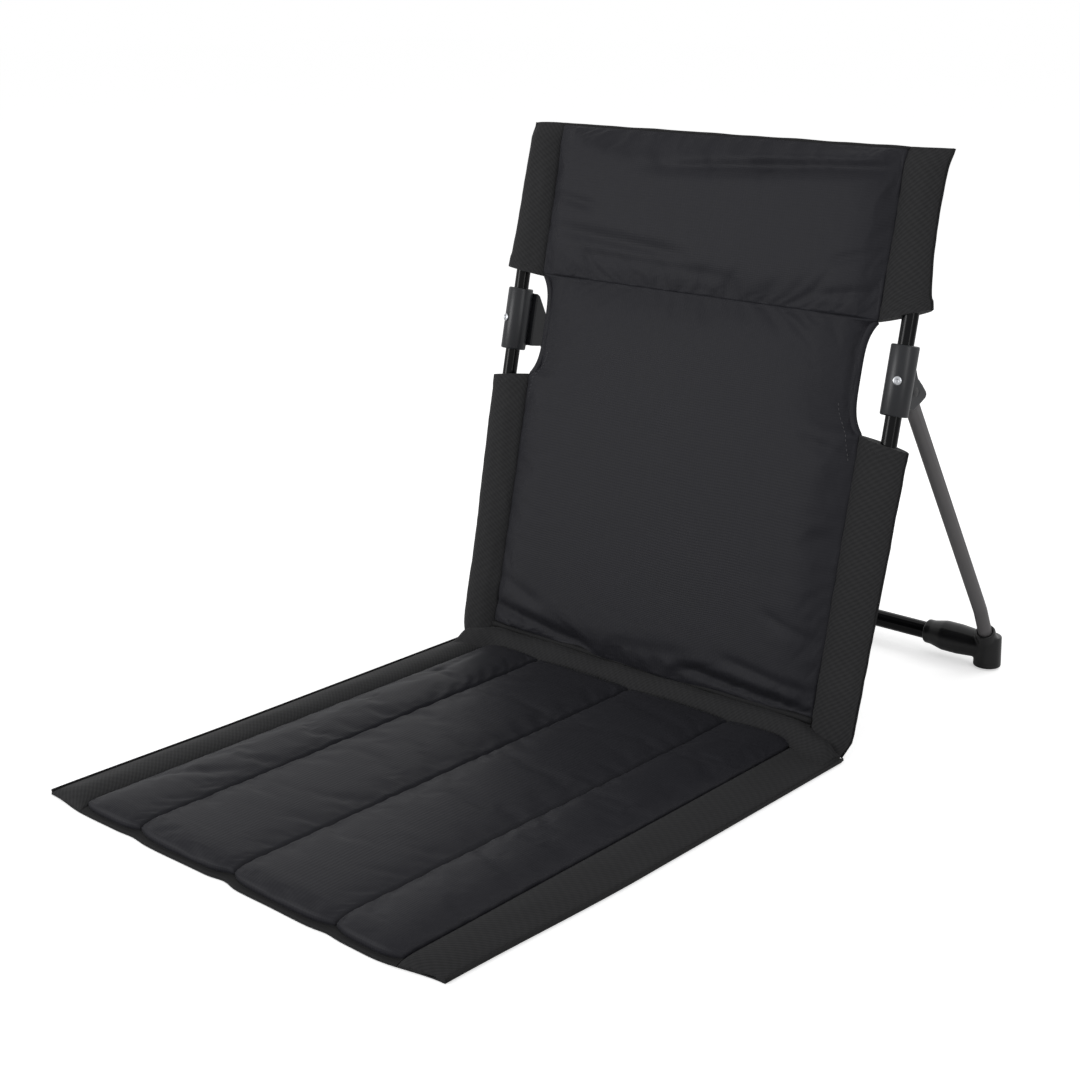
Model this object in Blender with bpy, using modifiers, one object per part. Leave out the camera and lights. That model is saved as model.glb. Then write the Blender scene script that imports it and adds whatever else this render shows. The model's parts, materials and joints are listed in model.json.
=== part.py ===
"""Low folding camping chair: a quilted seat mat, a padded back on a tube frame and a folding rear leg.

The chair faces -Y and stands on the floor at z = 0. Lengths are metres. The back is modelled upright in
its own frame (x across, y to the rear, z up along the back) and leans with its empty. The rear leg hangs
from an empty on its pivot pins, and the seat mat from an empty on the fold line.
"""
import math

import bmesh
import bpy
from mathutils import Euler, Matrix, Vector

# Clearances and sheet thicknesses
CLEARANCE = 0.0003
CLOTH = 0.0012
WELD = 0.00001

# Back frame
BACK_TILT = math.radians(12.2)
BACK_HEIGHT = 0.484
TUBE_DIAMETER = 0.013
TUBE_WALL = 0.001
TUBE_TOP_SPACE = 0.0195
CAP_SHANK = 0.014
CAP_HEAD = 0.004
CAP_EDGE = 0.0016
ELBOW_WALL = 0.002
ELBOW_ARM = 0.036
ELBOW_BEND = 0.0105
SOCKET_DEPTH = 0.022

# Hinge sleeves and their lugs
HINGE_HEIGHT = 0.305
HINGE_LENGTH = 0.056
HINGE_DIAMETER = 0.0225
HINGE_EDGE = 0.0008
LUG_INSET = 0.0065
LUG_CHEEK = 0.0016
LUG_TOP = 0.016
LUG_BOTTOM = 0.023
LUG_FRONT = 0.002
LUG_TIP = 0.009
LUG_LIP = 0.011
SLOT_REACH = 0.036
PIN_BEHIND = 0.026
PIN_DROP = 0.008
PIN_DIAMETER = 0.005
PIN_HEAD_DIAMETER = 0.0085
PIN_HEAD_HEIGHT = 0.0012
PIN_CHAMFER = 0.0007
RIVET_DIAMETER = 0.004
RIVET_HEAD_DIAMETER = 0.007
RIVET_HEAD_HEIGHT = 0.0013
RIVET_EDGE_HEIGHT = 0.0004
RIVET_DISH_DEPTH = 0.0005
RIVET_GRIP = 0.003
RIVET_TURN = math.radians(20.0)

# Rear leg
LEG_TUBE_DIAMETER = 0.0125
LEG_TUBE_WALL = 0.001
LEG_TOP_REACH = 0.007
LEG_BEND_ANGLE = math.radians(7.0)
LEG_BEND_RADIUS = 0.070
LEG_FOOT_RUN = 0.045
FOOT_REACH = 0.262
FOOT_AXIS_HEIGHT = 0.019
CROSS_TUBE_DIAMETER = 0.016
CROSS_TUBE_WALL = 0.001
FOOT_BARREL_DIAMETER = 0.028
FOOT_MOUTH_DIAMETER = 0.0225
FOOT_END_DIAMETER = 0.023
FOOT_INNER_REACH = 0.062
FOOT_OUTER_REACH = 0.012
FOOT_SWELL_START = 0.0407
FOOT_SWELL_LENGTH = 0.0148
FOOT_MOUTH_LENGTH = 0.006
FOOT_SOCKET_DEPTH = 0.036
FOOT_COLLAR_WALL = 0.0028
FOOT_COLLAR_HEIGHT = 0.019
FOOT_LEG_STOP = 0.010
FOOT_PAD_DIAMETER = 0.022
FOOT_PAD_EDGE = 0.003

# Back cover
COVER_SPARE = 0.005
TUBE_MARGIN = 0.0115
SLEEVE_WIDTH = 0.0365
SLEEVE_DEPTH = 0.0190
SLEEVE_FOOT_DEPTH = 0.0242
SLEEVE_FLARE = 0.006
SLEEVE_SEAM_FULLNESS = 0.65
SLEEVE_SWELL_LOW = 0.050
SLEEVE_SWELL_HIGH = 0.075
SLEEVE_HEM = 0.0048
SLEEVE_TAPER = 0.014
SLEEVE_LOW_END = 0.004
HINGE_ROOM_ABOVE = 0.016
HINGE_ROOM_BELOW = 0.026
CUTOUT_BITE = 0.010
CUTOUT_FULLNESS = 4
PANEL_EDGE = 0.0015
PANEL_CROWN = 0.0085
HEADREST_CROWN = 0.0090
PAD_FULLNESS = 4
FOAM_MARGIN = 0.020
BINDING_RADIUS = 0.0016
BINDING_END = 0.004

# Seat mat
SEAT_WIDTH = 0.420
SEAT_LENGTH = 0.4615
SEAT_BAND = 0.042
SEAT_CHANNEL_OUTER = 0.063
SEAT_CROWN = 0.0150
SEAT_SEAM = 0.0105
SEAT_RIM = 0.0060
SEAT_END_ROW = 0.012
SEAT_REAR_BAND = 0.025
SEAT_FRONT_HEM = 0.015
BAND_INNER_HEIGHT = 0.0080
BAND_OUTER_HEIGHT = 0.0040
REAR_BAND_HEIGHT = 0.0090
HEM_HEIGHT = 0.0050
BAND_EDGE = 0.0010
FOLD_DROP = 0.0005

# Facet counts and shading
ROUND_SIDES = 24
SMALL_SIDES = 16
TUBE_BEVEL_RESOLUTION = 6
BINDING_BEVEL_RESOLUTION = 2
BEND_STEPS = 4
SLEEVE_SIDES = 20
PANEL_COLUMNS = 14
PANEL_LOW_ROWS = 6
PANEL_CUT_ROWS = 8
HEADREST_ROWS = 10
CHANNEL_COLUMNS = 6
QUILT_ROWS = 8
FOAM_ROWS = 4
FOAM_SEAM_COLUMNS = 0.4
POCKET_ROWS = 9
LOWER_ROWS = 10
BEVEL_SEGMENTS = 2
BEVEL_ANGLE = math.radians(50.0)
SHARP_ANGLE = math.radians(35.0)

# Sizes that follow from the ones above
TUBE_RADIUS = TUBE_DIAMETER / 2
TUBE_BORE_RADIUS = TUBE_RADIUS + CLEARANCE
COVER_WIDTH = SEAT_WIDTH + COVER_SPARE
TUBE_SPACING = COVER_WIDTH - 2 * TUBE_MARGIN
TUBE_X = TUBE_SPACING / 2
ELBOW_RADIUS = TUBE_BORE_RADIUS + ELBOW_WALL
BASE_SLEEVE_BORE = ELBOW_RADIUS + 2 * CLEARANCE
BASE_SLEEVE_RADIUS = BASE_SLEEVE_BORE + CLOTH
BASE_S = BASE_SLEEVE_RADIUS / math.cos(BACK_TILT)
BASE_Y = BASE_S * math.sin(BACK_TILT)
TUBE_START = BASE_S + ELBOW_ARM - SOCKET_DEPTH + CLEARANCE
TUBE_TOP = BACK_HEIGHT - TUBE_TOP_SPACE
HINGE_RADIUS = HINGE_DIAMETER / 2
LEG_RADIUS = LEG_TUBE_DIAMETER / 2
LUG_GAP = LEG_TUBE_DIAMETER + 2 * CLEARANCE
LUG_WIDTH = LUG_GAP + 2 * LUG_CHEEK
PIN_S = HINGE_HEIGHT - PIN_DROP
LEG_X = TUBE_X - LUG_INSET
COVER_HALF = COVER_WIDTH / 2
SEAM_X = COVER_HALF - SLEEVE_WIDTH
SLEEVE_X = (COVER_HALF + SEAM_X) / 2
HEADREST_SEAM = HINGE_HEIGHT + HINGE_LENGTH / 2 + HINGE_ROOM_ABOVE
CUT_LOW = HINGE_HEIGHT - HINGE_LENGTH / 2 - HINGE_ROOM_BELOW
CUTOUT_LENGTH = HEADREST_SEAM - CUT_LOW
PANEL_BOTTOM = BASE_S + BASE_SLEEVE_RADIUS + 2 * CLEARANCE
SEAT_HALF = SEAT_WIDTH / 2
QUILT_HALF = SEAT_HALF - SEAT_BAND
QUILT_INNER = QUILT_HALF - SEAT_CHANNEL_OUTER
CHANNEL_SEAMS = (-QUILT_HALF, -QUILT_INNER, 0.0, QUILT_INNER, QUILT_HALF)
FOLD_Y = BASE_Y - BASE_SLEEVE_RADIUS - 2 * CLEARANCE
FOLD_Z = SEAT_CROWN + FOLD_DROP
QUILT_REAR_Y = FOLD_Y - SEAT_REAR_BAND
QUILT_FRONT_Y = SEAT_FRONT_HEM - SEAT_LENGTH


def pivot_place():
    """Return the pivot line's y and z on the leaning back, with the floor line of the back at zero."""
    sine, cosine = math.sin(BACK_TILT), math.cos(BACK_TILT)
    return PIN_S * sine + PIN_BEHIND * cosine, PIN_S * cosine - PIN_BEHIND * sine


def leg_run():
    """Return the straight upper length of the leg and its lean, for a leg that ends on the foot axis."""
    pivot_y, pivot_z = pivot_place()
    chord = math.hypot(FOOT_REACH - pivot_y, pivot_z - FOOT_AXIS_HEIGHT)
    chord_lean = math.atan2(FOOT_REACH - pivot_y, pivot_z - FOOT_AXIS_HEIGHT)
    offset = LEG_FOOT_RUN * math.sin(LEG_BEND_ANGLE)
    upper = math.sqrt(chord**2 - offset**2) - LEG_FOOT_RUN * math.cos(LEG_BEND_ANGLE)
    return upper, chord_lean + math.asin(offset / chord)


LEG_UPPER, LEG_LEAN = leg_run()
LEG_OPEN_ANGLE = LEG_LEAN + BACK_TILT
FLOOR_MIDDLE_Y = (FOOT_REACH + FOOT_BARREL_DIAMETER / 2 - SEAT_LENGTH) / 2

parts = bpy.data.collections.new("folding_camping_chair")
cutters = bpy.data.collections.new("cutters")


def make_material(name, colour, roughness, metallic=0.0):
    """Return a Principled material with one colour."""
    made = bpy.data.materials.new(name)
    made.use_nodes = True
    shader = made.node_tree.nodes["Principled BSDF"]
    shader.inputs["Base Color"].default_value = (*colour, 1.0)
    shader.inputs["Roughness"].default_value = roughness
    shader.inputs["Metallic"].default_value = metallic
    return made


def make_empty(name, parent, location, turn=0.0):
    """Return an empty that carries a group of parts, turned about X."""
    empty = bpy.data.objects.new(name, None)
    parts.objects.link(empty)
    empty.parent = parent
    empty.location = location
    empty.rotation_euler.x = turn
    return empty


def add_part(name, mesh, material, parent, location=(0, 0, 0), rotation=(0, 0, 0)):
    """Put a mesh in the chair as a named part."""
    part = bpy.data.objects.new(name, mesh)
    parts.objects.link(part)
    part.parent = parent
    part.location = location
    part.rotation_euler = rotation
    mesh.materials.clear()
    mesh.materials.append(material)
    mesh.shade_smooth()
    mesh.set_sharp_from_angle(angle=SHARP_ANGLE)
    return part


def add_tool(name, mesh, like, location=(0, 0, 0), rotation=(0, 0, 0)):
    """Put a mesh beside a part as a hidden shape that cuts it or joins it."""
    tool = bpy.data.objects.new(name, mesh)
    cutters.objects.link(tool)
    tool.parent = like.parent
    tool.matrix_basis = like.matrix_basis @ Matrix.LocRotScale(location, Euler(rotation), None)
    tool.hide_render = True
    tool.display_type = "WIRE"
    return tool


def combine(part, tool, operation):
    """Add a Boolean of the part with a tool shape."""
    boolean = part.modifiers.new(tool.name, "BOOLEAN")
    boolean.operation = operation
    boolean.object = tool
    boolean.solver = "EXACT"


def cut_cylinder(part, name, radius, length, location, rotation=(0, 0, 0), sides=ROUND_SIDES):
    """Cut a round hole in a part, centred at a place in the part's own frame."""
    tool = add_tool(name, cylinder_mesh(name, radius, length, sides), part, location, rotation)
    combine(part, tool, "DIFFERENCE")


def cylinder_mesh(name, radius, length, sides=ROUND_SIDES):
    """Return a cylinder along Z, centred on the origin."""
    mesh = bpy.data.meshes.new(name)
    shape = bmesh.new()
    bmesh.ops.create_cone(shape, cap_ends=True, segments=sides, radius1=radius, radius2=radius, depth=length)
    shape.to_mesh(mesh)
    shape.free()
    return mesh


def curve_to_mesh(name, curve):
    """Return a welded mesh of a curve."""
    guide = bpy.data.objects.new(name, curve)
    bpy.context.scene.collection.objects.link(guide)
    graph = bpy.context.evaluated_depsgraph_get()
    mesh = bpy.data.meshes.new_from_object(guide.evaluated_get(graph))
    mesh.name = name
    bpy.data.objects.remove(guide)
    bpy.data.curves.remove(curve)
    shape = bmesh.new()
    shape.from_mesh(mesh)
    bmesh.ops.remove_doubles(shape, verts=shape.verts, dist=WELD)
    shape.to_mesh(mesh)
    shape.free()
    return mesh


def poly_curve(name, points, closed, dimensions):
    """Return a curve with one straight-sided spline."""
    curve = bpy.data.curves.new(name, "CURVE")
    curve.dimensions = dimensions
    spline = curve.splines.new("POLY")
    spline.points.add(len(points) - 1)
    for knot, point in zip(spline.points, points):
        knot.co = (*point, 1.0)
    spline.use_cyclic_u = closed
    return curve


def rod_mesh(name, points, radius, resolution, capped=True):
    """Return a round bar, or an open skin where it isn't capped, along a line of points."""
    curve = poly_curve(name, points, False, "3D")
    curve.bevel_depth = radius
    curve.bevel_resolution = resolution
    curve.use_fill_caps = capped
    curve.twist_mode = "MINIMUM"
    return curve_to_mesh(name, curve)


def plate_mesh(name, outline, thickness):
    """Return a flat plate from an outline in the y-z plane, with its thickness along X."""
    curve = poly_curve(name, [(y, z, 0.0) for y, z in outline], True, "2D")
    curve.fill_mode = "BOTH"
    curve.extrude = thickness / 2
    mesh = curve_to_mesh(name, curve)
    mesh.transform(Matrix(((0, 0, 1, 0), (1, 0, 0, 0), (0, 1, 0, 0), (0, 0, 0, 1))))
    return mesh


def add_tube(name, points, diameter, wall, material, parent, location=(0, 0, 0)):
    """Add a hollow tube along a line of points."""
    skin = rod_mesh(name, points, diameter / 2, TUBE_BEVEL_RESOLUTION, capped=False)
    tube = add_part(name, skin, material, parent, location)
    thicken(tube, wall)
    return tube


def thicken(part, thickness):
    """Give an open skin its thickness, inwards from its outer face."""
    solid = part.modifiers.new("thickness", "SOLIDIFY")
    solid.thickness = thickness
    solid.offset = -1.0
    solid.use_even_offset = True


def add_turned(name, profile, material, parent, location=(0, 0, 0), rotation=(0, 0, 0), sides=SMALL_SIDES):
    """Add a turned piece from (radius, height) points that run from the top to the bottom."""
    mesh = bpy.data.meshes.new(name)
    points = [(radius, 0.0, height) for radius, height in profile]
    mesh.from_pydata(points, [(i, i + 1) for i in range(len(points) - 1)], [])
    turned = add_part(name, mesh, material, parent, location, rotation)
    screw = turned.modifiers.new("turn", "SCREW")
    screw.steps = sides
    screw.render_steps = sides
    screw.use_merge_vertices = True
    screw.merge_threshold = WELD
    return turned


def sheet_mesh(name, columns, rows, place):
    """Return an open grid whose points are placed by a function of u and v, each from 0 to 1."""
    mesh = bpy.data.meshes.new(name)
    shape = bmesh.new()
    bmesh.ops.create_grid(shape, x_segments=columns, y_segments=rows, size=0.5)
    for point in shape.verts:
        point.co = place(point.co.x + 0.5, point.co.y + 0.5)
    shape.to_mesh(mesh)
    shape.free()
    return mesh


def block_mesh(name, columns, rows, place):
    """Return a block with a gridded top and base, placed by a function of u, v and w from 0 to 1."""
    mesh = bpy.data.meshes.new(name)
    shape = bmesh.new()
    bmesh.ops.create_cube(shape, size=1.0)
    for axis, pieces in enumerate((columns, rows)):
        along = [edge for edge in shape.edges if edge.verts[0].co[axis] * edge.verts[1].co[axis] < 0]
        if pieces > 1:
            bmesh.ops.subdivide_edges(shape, edges=along, cuts=pieces - 1, use_grid_fill=True)
    for point in shape.verts:
        point.co = place(point.co.x + 0.5, point.co.y + 0.5, point.co.z + 0.5)
    shape.normal_update()
    bmesh.ops.recalc_face_normals(shape, faces=shape.faces)
    shape.to_mesh(mesh)
    shape.free()
    return mesh


def round_edges(part, width):
    """Round a part's sharp edges."""
    bevel = part.modifiers.new("edges", "BEVEL")
    bevel.width = width
    bevel.segments = BEVEL_SEGMENTS
    bevel.limit_method = "ANGLE"
    bevel.angle_limit = BEVEL_ANGLE


def blend_between(low, high, share):
    """Return the value a share of the way from low to high."""
    return low + (high - low) * share


def arc_points(centre, radius, start, stop, steps):
    """Return points of an arc in a plane, from one angle to another."""
    angles = [blend_between(start, stop, i / steps) for i in range(steps + 1)]
    return [(centre[0] + radius * math.cos(a), centre[1] + radius * math.sin(a)) for a in angles]


def build_back_frame(back, side, label, finish):
    """Build one side of the back frame: tube, plug, corner socket, hinge sleeve, rivet and pivot pin."""
    tube = add_tube(f"back_tube_{label}", [(0, 0, TUBE_START), (0, 0, TUBE_TOP)], TUBE_DIAMETER, TUBE_WALL,
                    finish["gloss_steel"], back, (side * TUBE_X, 0, 0))
    rivet_way = (math.radians(90.0), 0, side * RIVET_TURN)
    rivet_out = Vector((side * math.sin(RIVET_TURN), -math.cos(RIVET_TURN), 0))
    hole_radius = RIVET_DIAMETER / 2 + CLEARANCE
    hole_middle = rivet_out * (HINGE_RADIUS / 2)
    cut_cylinder(tube, f"rivet_hole_tube_{label}", hole_radius, HINGE_RADIUS,
                 hole_middle + Vector((0, 0, HINGE_HEIGHT)), rivet_way, SMALL_SIDES)

    cap_radius = TUBE_RADIUS - TUBE_WALL - CLEARANCE
    cap_profile = [(0, CAP_HEAD), (TUBE_RADIUS - CAP_EDGE, CAP_HEAD), (TUBE_RADIUS, CAP_HEAD - CAP_EDGE),
                   (TUBE_RADIUS, CLEARANCE), (cap_radius, CLEARANCE), (cap_radius, -CAP_SHANK),
                   (0, -CAP_SHANK)]
    add_turned(f"tube_cap_{label}", cap_profile, finish["plastic"], back, (side * TUBE_X, 0, TUBE_TOP))

    bend = [(side * x, 0, z) for x, z in arc_points((-ELBOW_BEND, ELBOW_BEND), ELBOW_BEND, -math.pi / 2, 0,
                                                    BEND_STEPS)]
    path = [(-side * ELBOW_ARM, 0, 0), *bend, (0, 0, ELBOW_ARM)]
    elbow = add_part(f"base_elbow_{label}", rod_mesh("elbow", path, ELBOW_RADIUS, TUBE_BEVEL_RESOLUTION),
                     finish["plastic"], back, (side * TUBE_X, 0, BASE_S))
    socket_middle = ELBOW_ARM - SOCKET_DEPTH / 2 + ELBOW_WALL / 2
    socket_length = SOCKET_DEPTH + ELBOW_WALL
    cut_cylinder(elbow, f"upright_socket_{label}", TUBE_BORE_RADIUS, socket_length, (0, 0, socket_middle))
    cut_cylinder(elbow, f"cross_socket_{label}", TUBE_BORE_RADIUS, socket_length,
                 (-side * socket_middle, 0, 0), (0, math.radians(90.0), 0))

    build_hinge_sleeve(back, side, label, finish["hinge"], hole_radius, hole_middle, rivet_way)
    shank_end = HINGE_RADIUS - TUBE_RADIUS + TUBE_WALL + RIVET_GRIP + CLEARANCE
    rivet_radius, head_radius = RIVET_DIAMETER / 2, RIVET_HEAD_DIAMETER / 2
    rivet_profile = [(0, RIVET_HEAD_HEIGHT - RIVET_DISH_DEPTH), (rivet_radius, RIVET_HEAD_HEIGHT),
                     (head_radius, RIVET_EDGE_HEIGHT), (head_radius, 0), (rivet_radius, 0),
                     (rivet_radius, -shank_end), (0, -shank_end)]
    rivet_seat = Vector((side * TUBE_X, 0, HINGE_HEIGHT)) + rivet_out * (HINGE_RADIUS + CLEARANCE)
    add_turned(f"sleeve_rivet_{label}", rivet_profile, finish["bright"], back, rivet_seat, rivet_way)

    half = LUG_WIDTH / 2 + CLEARANCE
    pin_radius, pin_head = PIN_DIAMETER / 2, PIN_HEAD_DIAMETER / 2
    crown = half + PIN_HEAD_HEIGHT
    pin_top = [(0, crown), (pin_head - PIN_CHAMFER, crown), (pin_head, crown - PIN_CHAMFER), (pin_head, half),
               (pin_radius, half)]
    pin_profile = pin_top + [(radius, -height) for radius, height in reversed(pin_top)]
    add_turned(f"pivot_pin_{label}", pin_profile, finish["pin"], back, (side * LEG_X, PIN_BEHIND, PIN_S),
               (0, math.radians(90.0), 0))


def lug_outline():
    """Return the lug's outline in (y, z), with the sleeve's middle as zero."""
    pin = Vector((PIN_BEHIND, -PIN_DROP))
    down = Vector((math.sin(LEG_OPEN_ANGLE), -math.cos(LEG_OPEN_ANGLE)))
    rear = Vector((math.cos(LEG_OPEN_ANGLE), math.sin(LEG_OPEN_ANGLE)))
    shoulder = Vector((HINGE_RADIUS, LUG_TOP))
    to_pin = pin - shoulder
    tangent = math.atan2(to_pin.y, to_pin.x) + math.pi / 2 + math.asin(LUG_TIP / to_pin.length)
    rear_turn = math.atan2(rear.y, rear.x)
    tip = arc_points(pin, LUG_TIP, tangent, rear_turn, BEND_STEPS) if tangent > rear_turn else []
    lip = [pin + rear * LUG_TIP + down * LUG_LIP, pin - rear * LUG_TIP + down * LUG_LIP]
    return [(LUG_FRONT, LUG_TOP), shoulder, *tip, *lip, (HINGE_RADIUS, -LUG_BOTTOM), (LUG_FRONT, -LUG_BOTTOM)]


def leg_slot_outline():
    """Return the wedge that the leg sweeps below its pin, in (y, z) with the pin as zero."""
    half = LEG_RADIUS + CLEARANCE
    down = Vector((math.sin(LEG_OPEN_ANGLE), -math.cos(LEG_OPEN_ANGLE)))
    rear = Vector((math.cos(LEG_OPEN_ANGLE), math.sin(LEG_OPEN_ANGLE)))
    return [rear * half, rear * half + down * SLOT_REACH, Vector((-half, -SLOT_REACH)), Vector((-half, 0))]


def build_hinge_sleeve(back, side, label, material, hole_radius, hole_middle, rivet_way):
    """Build a moulded sleeve with the clevis lug that holds the top of the leg."""
    barrel = cylinder_mesh("hinge_sleeve", HINGE_RADIUS, HINGE_LENGTH)
    sleeve = add_part(f"hinge_sleeve_{label}", barrel, material, back, (side * TUBE_X, 0, HINGE_HEIGHT))
    round_edges(sleeve, HINGE_EDGE)
    inset = -side * LUG_INSET
    lug = plate_mesh(f"lug_{label}", lug_outline(), LUG_WIDTH)
    combine(sleeve, add_tool(f"lug_{label}", lug, sleeve, (inset, 0, 0)), "UNION")
    cut_cylinder(sleeve, f"sleeve_bore_{label}", TUBE_BORE_RADIUS, 2 * HINGE_LENGTH, (0, 0, 0))
    pin = (inset, PIN_BEHIND, -PIN_DROP)
    across = (0, math.radians(90.0), 0)
    sweep = math.hypot(LEG_TOP_REACH, LEG_RADIUS) + CLEARANCE
    cut_cylinder(sleeve, f"leg_top_room_{label}", sweep, LUG_GAP, pin, across)
    slot = plate_mesh(f"leg_slot_{label}", leg_slot_outline(), LUG_GAP)
    combine(sleeve, add_tool(f"leg_slot_{label}", slot, sleeve, pin), "DIFFERENCE")
    pin_hole = PIN_DIAMETER / 2 + CLEARANCE
    cut_cylinder(sleeve, f"pin_hole_{label}", pin_hole, 2 * LUG_WIDTH, pin, across, SMALL_SIDES)
    cut_cylinder(sleeve, f"rivet_hole_sleeve_{label}", hole_radius, 2 * HINGE_RADIUS, hole_middle * 2,
                 rivet_way, SMALL_SIDES)


def build_leg(leg, finish):
    """Build the rear leg: two tubes, the cross tube on the ground and its corner feet."""
    turn_in = LEG_BEND_RADIUS * math.tan(LEG_BEND_ANGLE / 2)
    along = Vector((-math.sin(LEG_BEND_ANGLE), -math.cos(LEG_BEND_ANGLE)))
    knee = Vector((0, -LEG_UPPER))
    foot = knee + along * LEG_FOOT_RUN
    stop = foot - along * FOOT_LEG_STOP
    bend_centre = (-LEG_BEND_RADIUS, turn_in - LEG_UPPER)
    bend = arc_points(bend_centre, LEG_BEND_RADIUS, 0, -LEG_BEND_ANGLE, BEND_STEPS)
    path = [(0, 0, LEG_TOP_REACH), *((0, y, z) for y, z in bend), (0, *stop)]
    for side, label in ((-1, "left"), (1, "right")):
        tube = add_tube(f"leg_tube_{label}", path, LEG_TUBE_DIAMETER, LEG_TUBE_WALL, finish["grey_steel"],
                        leg, (side * LEG_X, 0, 0))
        cut_cylinder(tube, f"leg_pin_hole_{label}", PIN_DIAMETER / 2 + CLEARANCE, 2 * LUG_WIDTH, (0, 0, 0),
                     (0, math.radians(90.0), 0), SMALL_SIDES)
        build_foot(leg, side, label, (side * LEG_X, *foot), finish["foot"])
    cross_half = LEG_X - FOOT_INNER_REACH + FOOT_SOCKET_DEPTH - CLEARANCE
    add_tube("leg_cross_tube", [(-cross_half, 0, 0), (cross_half, 0, 0)], CROSS_TUBE_DIAMETER,
             CROSS_TUBE_WALL, finish["gloss_steel"], leg, (0, *foot))


def build_foot(leg, side, label, place, material):
    """Build a corner foot: a swelling barrel on the cross tube, a collar for the leg and a ground pad."""
    barrel, mouth, end = FOOT_BARREL_DIAMETER / 2, FOOT_MOUTH_DIAMETER / 2, FOOT_END_DIAMETER / 2
    swell = FOOT_OUTER_REACH - FOOT_SWELL_START
    profile = arc_points((0, FOOT_OUTER_REACH - end), end, math.pi / 2, 0, BEND_STEPS)
    profile[0] = (0, FOOT_OUTER_REACH)
    profile += [(barrel, swell), (barrel, swell - FOOT_SWELL_LENGTH)]
    profile += [(mouth, FOOT_MOUTH_LENGTH - FOOT_INNER_REACH), (mouth, -FOOT_INNER_REACH)]
    profile += [(0, -FOOT_INNER_REACH)]
    upright = Matrix.Rotation(-LEG_LEAN, 3, "X")
    along_x = Matrix.Rotation(math.radians(90.0) * side, 3, "Y")
    elbow = add_turned(f"foot_elbow_{label}", profile, material, leg, place, (upright @ along_x).to_euler(),
                       ROUND_SIDES)
    to_part = along_x.inverted()
    leg_lean = LEG_LEAN - LEG_BEND_ANGLE
    leg_up = Vector((0, -math.sin(leg_lean), math.cos(leg_lean)))
    lean = to_part @ Matrix.Rotation(leg_lean, 3, "X")
    bore = LEG_RADIUS + CLEARANCE
    collar = cylinder_mesh(f"collar_{label}", bore + FOOT_COLLAR_WALL, FOOT_COLLAR_HEIGHT)
    collar_tool = add_tool(f"collar_{label}", collar, elbow, to_part @ (leg_up * FOOT_COLLAR_HEIGHT / 2),
                           lean.to_euler())
    combine(elbow, collar_tool, "UNION")
    pad = cylinder_mesh(f"pad_{label}", FOOT_PAD_DIAMETER / 2, FOOT_AXIS_HEIGHT)
    pad_tool = add_tool(f"pad_{label}", pad, elbow, to_part @ Vector((0, 0, -FOOT_AXIS_HEIGHT / 2)),
                        to_part.to_euler())
    round_edges(pad_tool, FOOT_PAD_EDGE)
    combine(elbow, pad_tool, "UNION")
    leg_hole = FOOT_COLLAR_HEIGHT
    cut_cylinder(elbow, f"leg_socket_{label}", bore, leg_hole,
                 to_part @ (leg_up * (FOOT_LEG_STOP - CLEARANCE + leg_hole / 2)), lean.to_euler())
    cross_bore = CROSS_TUBE_DIAMETER / 2 + CLEARANCE
    cut_cylinder(elbow, f"cross_tube_socket_{label}", cross_bore, 2 * FOOT_SOCKET_DEPTH,
                 (0, 0, -FOOT_INNER_REACH))


def panel_half(s):
    """Return half the padded panel's width at a height along the back, with the side cut-outs."""
    reach = (s - CUT_LOW) / CUTOUT_LENGTH * 2 - 1
    bite = CUTOUT_BITE * max(0.0, 1 - reach**CUTOUT_FULLNESS)
    return SEAM_X - CLEARANCE - bite


def panel_s(v):
    """Return the height along the back of a row of the lower panel."""
    rows = PANEL_LOW_ROWS + PANEL_CUT_ROWS
    row = v * rows
    if row <= PANEL_LOW_ROWS:
        return blend_between(PANEL_BOTTOM, CUT_LOW, row / PANEL_LOW_ROWS)
    return blend_between(CUT_LOW, HEADREST_SEAM - CLEARANCE, (row - PANEL_LOW_ROWS) / PANEL_CUT_ROWS)


def headrest_s(v):
    """Return the height along the back of a row of the headrest."""
    return blend_between(HEADREST_SEAM + CLEARANCE, BACK_HEIGHT, v)


def pad_height(u, v, crown):
    """Return how far a padded panel stands forward, full in the middle and drawn in at its sides."""
    across, along = 2 * u - 1, 2 * v - 1
    return PANEL_EDGE + crown * (1 - across**PAD_FULLNESS) * (1 - along**PAD_FULLNESS)


def build_back_pad(back, name, rows, place_s, crown, finish):
    """Build the front cloth of a padded panel and the foam behind it."""
    margin_u = FOAM_MARGIN / (2 * SEAM_X)
    margin_v = FOAM_MARGIN / (place_s(1) - place_s(0))

    def cloth_point(u, v):
        s = place_s(v)
        return Vector(((2 * u - 1) * panel_half(s), -pad_height(u, v, crown), s))

    def foam_point(u, v, w):
        inner_u, inner_v = blend_between(margin_u, 1 - margin_u, u), blend_between(margin_v, 1 - margin_v, v)
        front = cloth_point(inner_u, inner_v)
        front.y = blend_between(-CLEARANCE, front.y + CLOTH + 2 * CLEARANCE, w)
        return front

    panel = sheet_mesh(name, PANEL_COLUMNS, rows, cloth_point)
    thicken(add_part(f"{name}_panel", panel, finish["satin_cloth"], back), CLOTH)
    add_part(f"{name}_foam", block_mesh(name, PANEL_COLUMNS // 2, rows, foam_point), finish["foam"], back)


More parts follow.
